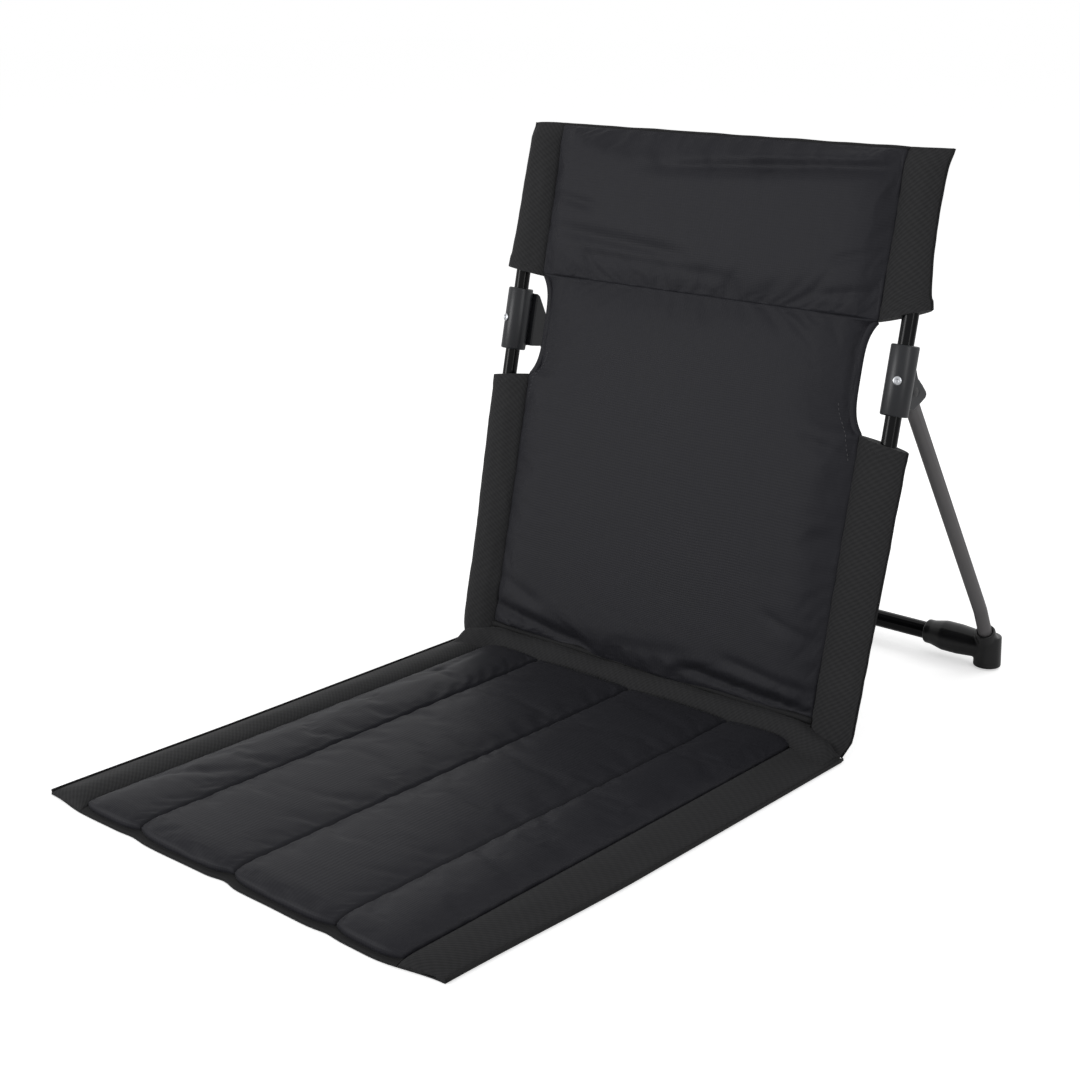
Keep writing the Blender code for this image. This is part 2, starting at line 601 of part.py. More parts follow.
def build_rear_cloth(back, finish):
    """Build the cloth behind the foam, from the fold to the top hem."""
    rows = PANEL_LOW_ROWS + PANEL_CUT_ROWS

    def place(u, v):
        row = round(v * (rows + 1))
        s = panel_s(row / rows) if row <= rows else BACK_HEIGHT
        return Vector(((1 - 2 * u) * panel_half(s), CLOTH, s))

    cloth = add_part("back_rear_cloth", sheet_mesh("back_rear_cloth", PANEL_COLUMNS // 2, rows + 1, place),
                     finish["matt_cloth"], back)
    thicken(cloth, CLOTH)


def sleeve_mesh(name, side, low, high, rows, depth_at, flare_at, closed):
    """Return the skin of a fabric sleeve, full round its tube and flat at its seam, or of a pocket."""
    mesh = bpy.data.meshes.new(name)
    shape = bmesh.new()
    bmesh.ops.create_grid(shape, x_segments=SLEEVE_SIDES, y_segments=rows, size=0.5)
    half_width = SLEEVE_WIDTH / 2 - CLEARANCE
    for point in shape.verts:
        turn = (point.co.x + 0.5) * 2 * math.pi
        share = point.co.y + 0.5
        s = blend_between(low, high, share)
        out = (1 + math.cos(turn)) / 2
        across = half_width * math.cos(turn) + SLEEVE_FLARE * flare_at(share) * out
        full = blend_between(SLEEVE_SEAM_FULLNESS, 1, math.sqrt(out))
        point.co = (side * across, depth_at(s) / 2 * full * math.sin(turn), s)
    bmesh.ops.remove_doubles(shape, verts=shape.verts, dist=WELD)
    if closed:
        rim = [edge for edge in shape.edges
               if edge.is_boundary and min(point.co.z for point in edge.verts) > high - CLOTH]
        bmesh.ops.contextual_create(shape, geom=rim)
    shape.normal_update()
    bmesh.ops.recalc_face_normals(shape, faces=shape.faces)
    shape.to_mesh(mesh)
    shape.free()
    return mesh


def pocket_depth(s):
    """Return the depth of an upper pocket, which closes to a flat hem at the top."""
    share = max(0.0, (s - BACK_HEIGHT + SLEEVE_TAPER) / SLEEVE_TAPER)
    return blend_between(SLEEVE_DEPTH, SLEEVE_HEM, share)


def lower_depth(s):
    """Return the depth of a lower sleeve, which swells over the corner socket."""
    share = (s - SLEEVE_SWELL_LOW) / (SLEEVE_SWELL_HIGH - SLEEVE_SWELL_LOW)
    return blend_between(SLEEVE_FOOT_DEPTH, SLEEVE_DEPTH, min(1.0, max(0.0, share)))


def build_sleeves(back, finish):
    """Build the fabric round the frame: two pockets, two lower sleeves and the sleeve at the fold."""
    cloth = finish["matt_cloth"]
    for side, label in ((-1, "left"), (1, "right")):
        pocket = sleeve_mesh("pocket", side, HEADREST_SEAM + CLEARANCE, BACK_HEIGHT, POCKET_ROWS,
                             pocket_depth, lambda share: (1 - share)**2, True)
        thicken(add_part(f"upper_sleeve_{label}", pocket, cloth, back, (side * SLEEVE_X, 0, 0)), CLOTH)
        lower = sleeve_mesh("lower", side, SLEEVE_LOW_END, CUT_LOW - CLEARANCE, LOWER_ROWS, lower_depth,
                            lambda share: share, False)
        sleeve = add_part(f"lower_sleeve_{label}", lower, cloth, back, (side * SLEEVE_X, 0, 0))
        thicken(sleeve, CLOTH)
        cut_cylinder(sleeve, f"elbow_way_{label}", ELBOW_RADIUS + 2 * CLEARANCE, SLEEVE_WIDTH,
                     (-side * SLEEVE_WIDTH / 2, 0, BASE_S), (0, math.radians(90.0), 0))
    base_half = SEAM_X - 2 * CLEARANCE
    add_tube("base_sleeve", [(-base_half, 0, 0), (base_half, 0, 0)], 2 * BASE_SLEEVE_RADIUS, CLOTH, cloth,
             back, (0, 0, BASE_S))


def build_bindings(back, finish):
    """Build the tape that binds the panel's edge in each side cut-out."""
    offset = BINDING_RADIUS + CLEARANCE
    rows = PANEL_LOW_ROWS + PANEL_CUT_ROWS
    edge = [panel_s((PANEL_LOW_ROWS + i) / rows) for i in range(PANEL_CUT_ROWS + 1)]
    line = [Vector((panel_half(s), s)) for s in edge]
    line[0] += (line[1] - line[0]).normalized() * BINDING_END
    line[-1] += (line[-2] - line[-1]).normalized() * BINDING_END
    outer = []
    for i, point in enumerate(line):
        run = (line[min(i + 1, len(line) - 1)] - line[max(i - 1, 0)]).normalized()
        outer.append(point + Vector((run.y, -run.x)) * offset)
    for side, label in ((-1, "left"), (1, "right")):
        points = [(side * point.x, 0, point.y) for point in outer]
        tape = rod_mesh("binding", points, BINDING_RADIUS, BINDING_BEVEL_RESOLUTION)
        add_part(f"cutout_binding_{label}", tape, finish["tape"], back)


def quilt_height(u, v):
    """Return the quilt's height: a crown in each channel, low seams, and a low rim all round."""
    columns = CHANNEL_COLUMNS * (len(CHANNEL_SEAMS) - 1)
    column = u * columns
    across = 2 * (column % CHANNEL_COLUMNS) / CHANNEL_COLUMNS - 1
    crown = blend_between(SEAT_SEAM, SEAT_CROWN, 1 - across**2)
    at_rim = round(column) in (0, columns) or round(v * QUILT_ROWS) in (0, QUILT_ROWS)
    return SEAT_RIM if at_rim else crown


def quilt_x(u):
    """Return the place across the seat of a share of the quilt's columns."""
    place = u * (len(CHANNEL_SEAMS) - 1)
    channel = min(int(place), len(CHANNEL_SEAMS) - 2)
    return blend_between(CHANNEL_SEAMS[channel], CHANNEL_SEAMS[channel + 1], place - channel)


def quilt_y(v):
    """Return the place along the seat of a share of the quilt's rows, with short rows at both ends."""
    row = v * QUILT_ROWS
    front, rear = QUILT_FRONT_Y + CLEARANCE, QUILT_REAR_Y - CLEARANCE
    if row < 1:
        return front + row * SEAT_END_ROW
    if row > QUILT_ROWS - 1:
        return rear - (QUILT_ROWS - row) * SEAT_END_ROW
    return blend_between(front + SEAT_END_ROW, rear - SEAT_END_ROW, (row - 1) / (QUILT_ROWS - 2))


def build_seat(seat, finish):
    """Build the seat mat: ground cloth, foam strips, quilted top and matt borders."""
    down = (0, -FOLD_Y, -FOLD_Z)
    low = CLOTH + CLEARANCE

    def base_point(u, v, w):
        return Vector((SEAT_WIDTH * (u - 0.5), blend_between(-SEAT_LENGTH, FOLD_Y, v), CLOTH * w))

    def quilt_point(u, v):
        shrink = 1 - CLEARANCE / QUILT_HALF
        return Vector((quilt_x(u) * shrink, quilt_y(v), quilt_height(u, v)))

    base = block_mesh("seat_base_cloth", 1, 1, base_point)
    add_part("seat_base_cloth", base, finish["matt_cloth"], seat, down)
    channels = len(CHANNEL_SEAMS) - 1
    quilt = sheet_mesh("seat_quilt", channels * CHANNEL_COLUMNS, QUILT_ROWS, quilt_point)
    thicken(add_part("seat_quilt", quilt, finish["satin_cloth"], seat, down), CLOTH)
    for channel in range(channels):
        build_seat_foam(seat, channel, channels, low, down, finish["foam"])
    for side, label in ((-1, "left"), (1, "right")):
        def band_point(u, v, w, side=side):
            x = blend_between(QUILT_HALF + CLEARANCE, SEAT_HALF, u)
            top = blend_between(BAND_INNER_HEIGHT, BAND_OUTER_HEIGHT, u)
            return Vector((side * x, blend_between(-SEAT_LENGTH, FOLD_Y, v), blend_between(low, top, w)))

        add_border(f"seat_band_{label}", band_point, seat, down, finish["matt_cloth"])
    strips = (("seat_rear_band", QUILT_REAR_Y, FOLD_Y, REAR_BAND_HEIGHT),
              ("seat_front_hem", -SEAT_LENGTH, QUILT_FRONT_Y, HEM_HEIGHT))
    for name, front, rear, height in strips:
        def strip_point(u, v, w, front=front, rear=rear, height=height):
            half = QUILT_HALF - CLEARANCE
            return Vector((half * (2 * u - 1), blend_between(front, rear, v), blend_between(low, height, w)))

        add_border(name, strip_point, seat, down, finish["matt_cloth"])


def add_border(name, place, seat, down, material):
    """Add a flat border of the seat mat with rounded edges."""
    round_edges(add_part(name, block_mesh(name, 1, 1, place), material, seat, down), BAND_EDGE)


def build_seat_foam(seat, channel, channels, low, down, material):
    """Build the foam strip of one channel, inside the quilt's rim and clear of its seams."""
    first = 1 if channel == 0 else FOAM_SEAM_COLUMNS
    last = CHANNEL_COLUMNS - (1 if channel == channels - 1 else FOAM_SEAM_COLUMNS)

    def foam_point(u, v, w):
        column = channel * CHANNEL_COLUMNS + blend_between(first, last, u)
        share = column / (channels * CHANNEL_COLUMNS)
        row = blend_between(1, QUILT_ROWS - 1, v) / QUILT_ROWS
        top = quilt_height(share, row) - CLOTH - 2 * CLEARANCE
        return Vector((quilt_x(share), quilt_y(row), blend_between(low, top, w)))

    mesh = block_mesh("seat_foam", CHANNEL_COLUMNS, FOAM_ROWS, foam_point)
    add_part(f"seat_foam_{channel + 1}", mesh, material, seat, down)


def build_chair():
    """Build the whole chair on its empties."""
    finish = {
        "gloss_steel": make_material("black_gloss_steel", (0.012, 0.012, 0.013), 0.22, 0.4),
        "grey_steel": make_material("grey_powder_coated_steel", (0.075, 0.075, 0.075), 0.45, 0.3),
        "hinge": make_material("dark_grey_nylon", (0.045, 0.047, 0.048), 0.42),
        "foot": make_material("black_nylon", (0.020, 0.020, 0.021), 0.38),
        "plastic": make_material("black_moulded_plastic", (0.015, 0.015, 0.015), 0.50),
        "bright": make_material("bright_rivet", (0.75, 0.75, 0.77), 0.25, 1.0),
        "pin": make_material("dark_steel_pin", (0.10, 0.10, 0.10), 0.35, 1.0),
        "satin_cloth": make_material("smooth_black_cloth", (0.030, 0.030, 0.034), 0.55),
        "matt_cloth": make_material("matt_black_oxford", (0.022, 0.022, 0.022), 0.85),
        "tape": make_material("black_binding_tape", (0.012, 0.012, 0.013), 0.70),
        "foam": make_material("grey_foam", (0.30, 0.30, 0.30), 0.90),
    }
    chair = make_empty("chair", None, (0, -FLOOR_MIDDLE_Y, 0))
    back = make_empty("back", chair, (0, 0, 0), -BACK_TILT)
    leg = make_empty("rear_leg", back, (0, PIN_BEHIND, PIN_S), LEG_OPEN_ANGLE)
    seat = make_empty("seat", chair, (0, FOLD_Y, FOLD_Z))

    for side, label in ((-1, "left"), (1, "right")):
        build_back_frame(back, side, label, finish)
    cross_half = TUBE_X - ELBOW_ARM + SOCKET_DEPTH - CLEARANCE
    add_tube("base_cross_tube", [(-cross_half, 0, 0), (cross_half, 0, 0)], TUBE_DIAMETER, TUBE_WALL,
             finish["gloss_steel"], back, (0, 0, BASE_S))
    build_leg(leg, finish)
    build_back_pad(back, "back", PANEL_LOW_ROWS + PANEL_CUT_ROWS, panel_s, PANEL_CROWN, finish)
    build_back_pad(back, "headrest", HEADREST_ROWS, headrest_s, HEADREST_CROWN, finish)
    build_rear_cloth(back, finish)
    build_sleeves(back, finish)
    build_bindings(back, finish)
    build_seat(seat, finish)

    pivot_y, pivot_z = pivot_place()
    print(f"pivot y {pivot_y - FLOOR_MIDDLE_Y:.5f} z {pivot_z:.5f}")
    print(f"fold y {FOLD_Y - FLOOR_MIDDLE_Y:.5f} z {FOLD_Z:.5f}")
    print(f"leg folds flat by {math.degrees(LEG_OPEN_ANGLE):.2f} degrees")


for old in list(bpy.data.objects):
    bpy.data.objects.remove(old)
bpy.context.scene.collection.children.link(parts)
bpy.context.scene.collection.children.link(cutters)
build_chair()
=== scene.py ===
"""Low folding camping chair: padded back, quilted seat mat, cloth sleeves, tube frame and folding rear leg.

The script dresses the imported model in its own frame: metres, the chair faces -Y and stands on z = 0. The
back cover is shaped upright in a frame of its own (x across, y to the rear, z up the back) and then leans.
"""

import json
import logging
import math
from collections.abc import Callable, Iterable, Sequence
from dataclasses import dataclass, field
from enum import Enum

import bmesh
import bpy
from bmesh.types import BMesh, BMVert
from bpy.types import ID, Material, Node, NodeSocket, NodeTree, Object
from mathutils import Matrix, Vector, noise
from mathutils.bvhtree import BVHTree

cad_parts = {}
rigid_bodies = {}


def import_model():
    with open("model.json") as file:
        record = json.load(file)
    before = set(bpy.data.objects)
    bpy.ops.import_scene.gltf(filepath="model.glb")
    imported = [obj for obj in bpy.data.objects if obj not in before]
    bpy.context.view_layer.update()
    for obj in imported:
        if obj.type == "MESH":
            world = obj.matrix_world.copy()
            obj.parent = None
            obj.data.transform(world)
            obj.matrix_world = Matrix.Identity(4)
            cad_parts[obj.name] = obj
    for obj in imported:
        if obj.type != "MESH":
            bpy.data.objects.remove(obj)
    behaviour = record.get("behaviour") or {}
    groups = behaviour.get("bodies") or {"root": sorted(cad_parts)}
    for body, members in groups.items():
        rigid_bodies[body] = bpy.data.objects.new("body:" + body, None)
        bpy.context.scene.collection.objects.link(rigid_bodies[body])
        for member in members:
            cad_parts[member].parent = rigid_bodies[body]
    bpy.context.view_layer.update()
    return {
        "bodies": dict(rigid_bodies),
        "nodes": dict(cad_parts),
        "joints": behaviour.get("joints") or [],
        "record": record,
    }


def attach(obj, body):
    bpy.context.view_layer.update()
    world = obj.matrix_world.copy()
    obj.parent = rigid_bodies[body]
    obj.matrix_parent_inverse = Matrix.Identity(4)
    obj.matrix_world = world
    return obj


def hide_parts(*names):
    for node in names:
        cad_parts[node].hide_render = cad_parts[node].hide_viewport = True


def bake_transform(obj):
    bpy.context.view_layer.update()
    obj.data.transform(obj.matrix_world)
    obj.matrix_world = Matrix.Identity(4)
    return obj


LOG = logging.getLogger("chair")
CLOTH_UV = "cloth"
# The cloths' thickness, and the height of what lies on the ground cloth.
CLOTH = 0.0012
LAID = CLOTH + 0.0002
# How near points weld, and what a sewn edge keeps from its seam.
WELD = 0.00001
SEAM_GAP = 0.0003
# A Wave texture of scale 1 repeats every pi / 10 units.
WAVE_PERIOD = math.pi / 10
FORWARD = Vector((0, -1, 0))


class Body(Enum):
    """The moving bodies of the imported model."""

    BACK = "back"
    SEAT = "seat"
    LEG = "rear_leg"


class Side(Enum):
    """The two sides of the chair, as signs of x."""

    LEFT = -1
    RIGHT = 1

    @property
    def label(self) -> str:
        """Return the side's name as the nodes write it."""
        return self.name.lower()


class Slot(Enum):
    """The record's material slots."""

    GLOSS_STEEL = "gloss_steel"
    GREY_STEEL = "grey_steel"
    HINGE = "hinge_nylon"
    FOOT = "foot_nylon"
    HIDDEN = "hidden_plastic"
    RIVET = "bright_rivet"
    PIN = "pin_steel"
    SMOOTH = "smooth_cloth"
    OXFORD = "oxford_cloth"
    TAPE = "binding_tape"


def mix(low: float, high: float, share: float) -> float:
    """Return the value a share of the way from low to high."""
    return low + (high - low) * share


def clamp(value: float) -> float:
    """Return the value held between 0 and 1."""
    return min(1.0, max(0.0, value))


def ease(share: float) -> float:
    """Return a smooth step from 0 to 1."""
    held = clamp(share)
    return held * held * (3 - 2 * held)


def dome(share: float) -> float:
    """Return the height of a quarter ellipse, 0 at its foot and 1 at its top."""
    return math.sqrt(1 - (1 - clamp(share)) ** 2)


def hump(distance: float, width: float) -> float:
    """Return a bell curve of a distance."""
    return math.exp(-((distance / width) ** 2))


def drift(x: float, y: float, seed: float) -> float:
    """Return smooth noise of about -1 to 1 at a place given in pattern sizes."""
    return noise.noise(Vector((x, y, seed)))


def crowd(share: float, amount: float) -> float:
    """Return a share of 0 to 1 with its values drawn together at both ends."""
    return share - amount * math.sin(2 * math.pi * share) / (2 * math.pi)


def shares(count: int) -> list[float]:
    """Return even shares from 0 to 1 that bound a count of steps."""
    return [i / count for i in range(count + 1)]


def linear(code: str) -> tuple[float, float, float, float]:
    """Turn an sRGB hex colour into linear light.

    Args:
        code: The colour as #rrggbb.

    Returns:
        Linear red, green, blue and an alpha of 1.
    """
    parts = [int(code[i : i + 2], 16) / 255 for i in (1, 3, 5)]
    red, green, blue = [p / 12.92 if p <= 0.04045 else ((p + 0.055) / 1.055) ** 2.4 for p in parts]
    return red, green, blue, 1.0


def add_node(tree: NodeTree, kind: str, inputs: dict, **settings: object) -> Node:
    """Add a shader node with its settings, values and links.

    Args:
        tree: The node tree.
        kind: The node's type name.
        inputs: Sockets by name or number, each with a value or with the output socket that feeds it.
        settings: The node's own properties.

    Returns:
        The new node.
    """
    node = tree.nodes.new(kind)
    for key, value in settings.items():
        setattr(node, key, value)
    for key, value in inputs.items():
        if isinstance(value, NodeSocket):
            tree.links.new(value, node.inputs[key])
        else:
            node.inputs[key].default_value = value
    return node


@dataclass(frozen=True)
class Finish:
    """A surface finish that makes its own procedural material."""

    name: str
    colour: str
    light: str
    roughness: float
    metallic: float = 0.0
    specular: float = 0.5
    sheen: float = 0.0

    def material(self) -> Material:
        """Return the finish's material, made at its first use."""
        made = bpy.data.materials.get(self.name)
        if made is None:
            made = bpy.data.materials.new(self.name)
            made.use_nodes = True
            shader = made.node_tree.nodes["Principled BSDF"]
            plain = {"Metallic": self.metallic, "Specular IOR Level": self.specular, "Sheen Weight": self.sheen,
                     "Sheen Roughness": 0.4}
            for socket, value in plain.items():
                shader.inputs[socket].default_value = value
            self.paint(made.node_tree, shader)
        return made

    def paint(self, tree: NodeTree, shader: Node) -> None:
        """Add the finish's patterns to its shader."""
        raise NotImplementedError

    def spread(self, tree: NodeTree, shader: Node, share: NodeSocket,
               rough: NodeSocket, swing: float) -> None:
        """Colour the shader between the finish's two colours and vary its roughness.

        Args:
            tree: The node tree.
            shader: The Principled shader.
            share: How far the colour lies towards the light one.
            rough: A pattern from 0 to 1 that moves the roughness.
            swing: The roughness change from end to end.
        """
        mixed = add_node(tree, "ShaderNodeMix", {0: share, 6: linear(self.colour), 7: linear(self.light)},
                         data_type="RGBA")
        tree.links.new(mixed.outputs[2], shader.inputs["Base Color"])
        level = add_node(tree, "ShaderNodeMapRange", {"Value": rough, "To Min": self.roughness - swing / 2,
                                                      "To Max": self.roughness + swing / 2})
        tree.links.new(level.outputs[0], shader.inputs["Roughness"])


@dataclass(frozen=True)
class WovenCloth(Finish):
    """A woven cloth with threads, clouds of tone and a fine crumple, laid out on the piece's own UV map."""

    thread: float = 0.0016
    diagonal: bool = False
    relief: float = 0.0002
    weave_tone: float = 0.3
    crumple: float = 0.0007
    crumple_size: float = 0.022

    def paint(self, tree: NodeTree, shader: Node) -> None:
        """Add the threads, the tone and the crumple."""
        flat = add_node(tree, "ShaderNodeUVMap", {}, uv_map=CLOTH_UV).outputs["UV"]
        turned = add_node(tree, "ShaderNodeMapping", {
            "Vector": flat, "Rotation": (0, 0, math.radians(45.0 if self.diagonal else 0.0))}).outputs[0]
        scale = WAVE_PERIOD / self.thread
        yarn = {"Vector": turned, "Distortion": 0.6, "Detail": 1.0, "Detail Scale": 0.5}
        warp = add_node(tree, "ShaderNodeTexWave", {**yarn, "Scale": scale}, bands_direction="X")
        weft = add_node(tree, "ShaderNodeTexWave", {**yarn, "Scale": scale * (0.5 if self.diagonal else 1)},
                        bands_direction="Y")
        weave = add_node(tree, "ShaderNodeMix", {0: 0.3 if self.diagonal else 0.5, 2: warp.outputs["Fac"],
                                                 3: weft.outputs["Fac"]}).outputs[0]
        cloud = add_node(tree, "ShaderNodeTexNoise", {"Vector": flat, "Scale": 1 / 0.070, "Detail": 3.0}).outputs[0]
        slub = add_node(tree, "ShaderNodeMapping", {"Vector": flat, "Scale": (1 / 0.003, 1 / 0.040, 1)}).outputs[0]
        streak = add_node(tree, "ShaderNodeTexNoise", {"Vector": slub, "Scale": 1.0, "Detail": 2.0}).outputs[0]
        tone = add_node(tree, "ShaderNodeMix", {0: 0.3, 2: cloud, 3: streak}).outputs[0]
        share = add_node(tree, "ShaderNodeMix", {0: self.weave_tone, 2: tone, 3: weave}).outputs[0]
        self.spread(tree, shader, share, cloud, 0.10)
        fold = add_node(tree, "ShaderNodeTexNoise", {"Vector": flat, "Scale": 1 / self.crumple_size, "Detail": 3.0,
                                                     "Roughness": 0.45, "Distortion": 0.4}).outputs[0]
        soft = add_node(tree, "ShaderNodeBump", {"Strength": 0.6, "Distance": self.crumple, "Height": fold})
        bump = add_node(tree, "ShaderNodeBump", {"Strength": 0.6, "Distance": self.relief, "Height": weave,
                                                 "Normal": soft.outputs[0]})
        tree.links.new(bump.outputs[0], shader.inputs["Normal"])


@dataclass(frozen=True)
class CoatedMetal(Finish):
    """A metal or moulded part with a fine grain, soft clouds of tone and rubbed edges."""

    grain: float = 0.0009
    relief: float = 0.00004
    wear: float = 0.25

    def paint(self, tree: NodeTree, shader: Node) -> None:
        """Add the grain, the tone and the rubbed edges."""
        place = add_node(tree, "ShaderNodeTexCoord", {}).outputs["Object"]
        cloud = add_node(tree, "ShaderNodeTexNoise", {"Vector": place, "Scale": 1 / 0.025, "Detail": 4.0}).outputs[0]
        grit = add_node(tree, "ShaderNodeTexNoise", {"Vector": place, "Scale": 1 / self.grain,
                                                     "Detail": 2.0}).outputs[0]
        edge = add_node(tree, "ShaderNodeNewGeometry", {}).outputs["Pointiness"]
        rubbed = add_node(tree, "ShaderNodeMapRange", {"Value": edge, "From Min": 0.52, "From Max": 0.62,
                                                       "To Max": self.wear}).outputs[0]
        tone = add_node(tree, "ShaderNodeMix", {0: 0.35, 2: cloud, 3: grit}).outputs[0]
        calm = add_node(tree, "ShaderNodeMath", {0: tone, 1: 0.6}, operation="MULTIPLY").outputs[0]
        share = add_node(tree, "ShaderNodeMath", {0: calm, 1: rubbed}, operation="ADD", use_clamp=True).outputs[0]
        self.spread(tree, shader, share, tone, 0.12)
        bump = add_node(tree, "ShaderNodeBump", {"Strength": 0.5, "Distance": self.relief, "Height": grit})
        tree.links.new(bump.outputs[0], shader.inputs["Normal"])


@dataclass(frozen=True)
class Palette:
    """The chair's finishes."""

    # Plain-weave polyester: smooth, faintly satin. Its 0.3 mm threads are drawn at 1.6 mm so that they show.
    smooth: Finish = WovenCloth("plain_weave_polyester", "#1a1a1e", "#28282c", 0.52, specular=0.10, sheen=0.01)
    # Oxford polyester: matt, with a steep diagonal texture of about 2.6 mm that the bands and sleeves show.
    oxford: Finish = WovenCloth("oxford_polyester", "#1b1b1c", "#2e2e2f", 0.80, specular=0.14, sheen=0.03,
                                thread=0.0026, diagonal=True, relief=0.0003, weave_tone=0.55, crumple=0.0006)
    # Grosgrain tape: ribs across its run, darker than the cloth it binds. Its near-black also paints shade, on the
    # strips that stand in for the shaded folded edges and the crease under the back panel.
    tape: Finish = WovenCloth("grosgrain_tape", "#0d0d0e", "#1b1b1c", 0.72, specular=0.18, thread=0.0012,
                              weave_tone=0.6, crumple=0.0002)
    # Polyester sewing thread: a tight twist, a little lighter than the cloth.
    thread: Finish = WovenCloth("sewing_thread", "#1c1c1d", "#2c2c2d", 0.60, specular=0.2, thread=0.0008)
    pale_thread: Finish = WovenCloth("grey_sewing_thread", "#3c3c3e", "#565658", 0.55, specular=0.2, thread=0.0008)
    # Stove enamel on steel tube: deep black with a wet gloss.
    enamel: Finish = CoatedMetal("black_stove_enamel", "#050506", "#0d0d0f", 0.18, specular=0.12, relief=0.00001,
                                 wear=0.3)
    # Powder coat on steel tube: mid grey, satin, with a fine orange peel.
    powder: Finish = CoatedMetal("grey_powder_coat", "#484647", "#5c5a5b", 0.46, specular=0.35, grain=0.0016)
    # Glass-filled nylon, moulded: dark grey, satin, with rubbed edges.
    hinge: Finish = CoatedMetal("moulded_grey_nylon", "#16171a", "#26272a", 0.36, specular=0.30, wear=0.4)
    # Black nylon, moulded: half gloss.
    foot: Finish = CoatedMetal("moulded_black_nylon", "#0b0b0c", "#1c1c1d", 0.30, specular=0.30, wear=0.35)
    # Aluminium rivet: bright, lightly brushed by the setting tool.
    rivet: Finish = CoatedMetal("bright_aluminium", "#9c9ea2", "#c6c8cb", 0.36, metallic=1.0, wear=0.4)
    # Blackened steel pin: dull and dark.
    pin: Finish = CoatedMetal("blackened_steel", "#161617", "#262628", 0.55)


def cloth_grid(columns: int, rows: int, place: Callable[[float, float], Vector],
               flat: tuple[float, float]) -> BMesh:
    """Return a grid of cloth with its flat size on a UV map.

    Args:
        columns: Faces across.
        rows: Faces along.
        place: Gives a point of the cloth from its shares across and along.
        flat: The cloth's flat width and length.

    Returns:
        The open grid.
    """
    shape = bmesh.new()
    bmesh.ops.create_grid(shape, x_segments=columns, y_segments=rows, size=0.5)
    layer = shape.loops.layers.uv.new(CLOTH_UV)
    for face in shape.faces:
        for loop in face.loops:
            loop[layer].uv = ((loop.vert.co.x + 0.5) * flat[0], (loop.vert.co.y + 0.5) * flat[1])
    for point in shape.verts:
        point.co = place(point.co.x + 0.5, point.co.y + 0.5)
    shape.normal_update()
    return shape


def close_tube(shape: BMesh) -> None:
    """Weld a grid that runs round into a tube, and fill its ends."""
    bmesh.ops.remove_doubles(shape, verts=shape.verts, dist=WELD)
    bmesh.ops.holes_fill(shape, edges=[edge for edge in shape.edges if edge.is_boundary], sides=0)
    shape.normal_update()
    bmesh.ops.recalc_face_normals(shape, faces=shape.faces)


def sweep(path: Sequence[Vector], wide: float, thick: float, facing: Vector, sides: int) -> BMesh:
    """Return a bar with an oval section along a line of points.

    Args:
        path: The points of its middle line.
        wide: Half its width, across the line.
        thick: Half its thickness, towards the facing direction.
        facing: The direction that its flat side faces.
        sides: Faces round the section.

    Returns:
        The closed bar.
    """
    last = len(path) - 1
    length = sum((path[i + 1] - path[i]).length for i in range(last))

    def place(u: float, v: float) -> Vector:
        index = round(v * last)
        along = (path[min(index + 1, last)] - path[max(index - 1, 0)]).normalized()
        across = along.cross(facing).normalized()
        turn = 2 * math.pi * u
        return path[index] + across * (wide * math.cos(turn)) + across.cross(along) * (thick * math.sin(turn))

    shape = cloth_grid(sides, last, place, (2 * math.pi * max(wide, thick), length))
    close_tube(shape)
    return shape


def put(name: str, data: ID) -> Object:
    """Put new data in the scene as an object."""
    made = bpy.data.objects.new(name, data)
    bpy.context.scene.collection.objects.link(made)
    return made


def add_piece(name: str, shape: BMesh, finish: Finish, slot: Slot, body: Body | None,
              replaces: Iterable[str] = (), matrix: Matrix | None = None,
              sharp: float | None = None) -> Object:
    """Put a finished shape in the scene as a piece.

    Args:
        name: The piece's name.
        shape: Its mesh, which is freed.
        finish: Its finish.
        slot: The record's slot for its finish; not used.
        body: The body that it rides on, or None.
        replaces: The nodes that it stands for.
        matrix: Where its mesh goes.
        sharp: The angle past which its edges look sharp, or None for a soft piece.

    Returns:
        The piece.
    """
    if matrix is not None:
        bmesh.ops.transform(shape, matrix=matrix, verts=shape.verts)
    mesh = bpy.data.meshes.new(name)
    shape.to_mesh(mesh)
    shape.free()
    mesh.materials.append(finish.material())
    mesh.shade_smooth()
    if sharp is not None:
        mesh.set_sharp_from_angle(angle=math.radians(sharp))
    piece = put(name, mesh)
    if body is not None:
        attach(piece, body.value)
    if replaces:
        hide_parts(*replaces)
    LOG.info("%s: %d faces, for %s", name, len(mesh.polygons), ", ".join(replaces) or "trim")
    return piece


def thicken(piece: Object, rounds: int = 0) -> Object:
    """Give a piece its cloth's thickness, inwards from its outer face, and rounds of subdivision."""
    wall = piece.modifiers.new("thickness", "SOLIDIFY")
    wall.thickness = CLOTH
    wall.offset = -1.0
    if rounds:
        smooth = piece.modifiers.new("softness", "SUBSURF")
        smooth.levels = smooth.render_levels = rounds
    return piece


def refine(shape: BMesh) -> None:
    """Halve a grid's faces, with its curves kept."""
    bmesh.ops.subdivide_edges(shape, edges=shape.edges, cuts=1, use_grid_fill=True, smooth=1.0)
    shape.normal_update()


def close_behind(shape: BMesh, axis: int, level: float) -> None:
    """Draw a pad's rim back to a flat plane and close it there.

    Args:
        shape: The pad's cloth.
        axis: The axis that the plane stands across.
        level: Where the plane lies on that axis.
    """
    rim = [edge for edge in shape.edges if edge.is_boundary]
    for item in bmesh.ops.extrude_edge_only(shape, edges=rim)["geom"]:
        if isinstance(item, BMVert):
            item.co[axis] = level
    close_tube(shape)


def node_copy(node: Object) -> BMesh:
    """Return a merged copy of a CAD node's mesh."""
    shape = bmesh.new()
    shape.from_mesh(node.data)
    bmesh.ops.remove_doubles(shape, verts=shape.verts, dist=WELD)
    return shape


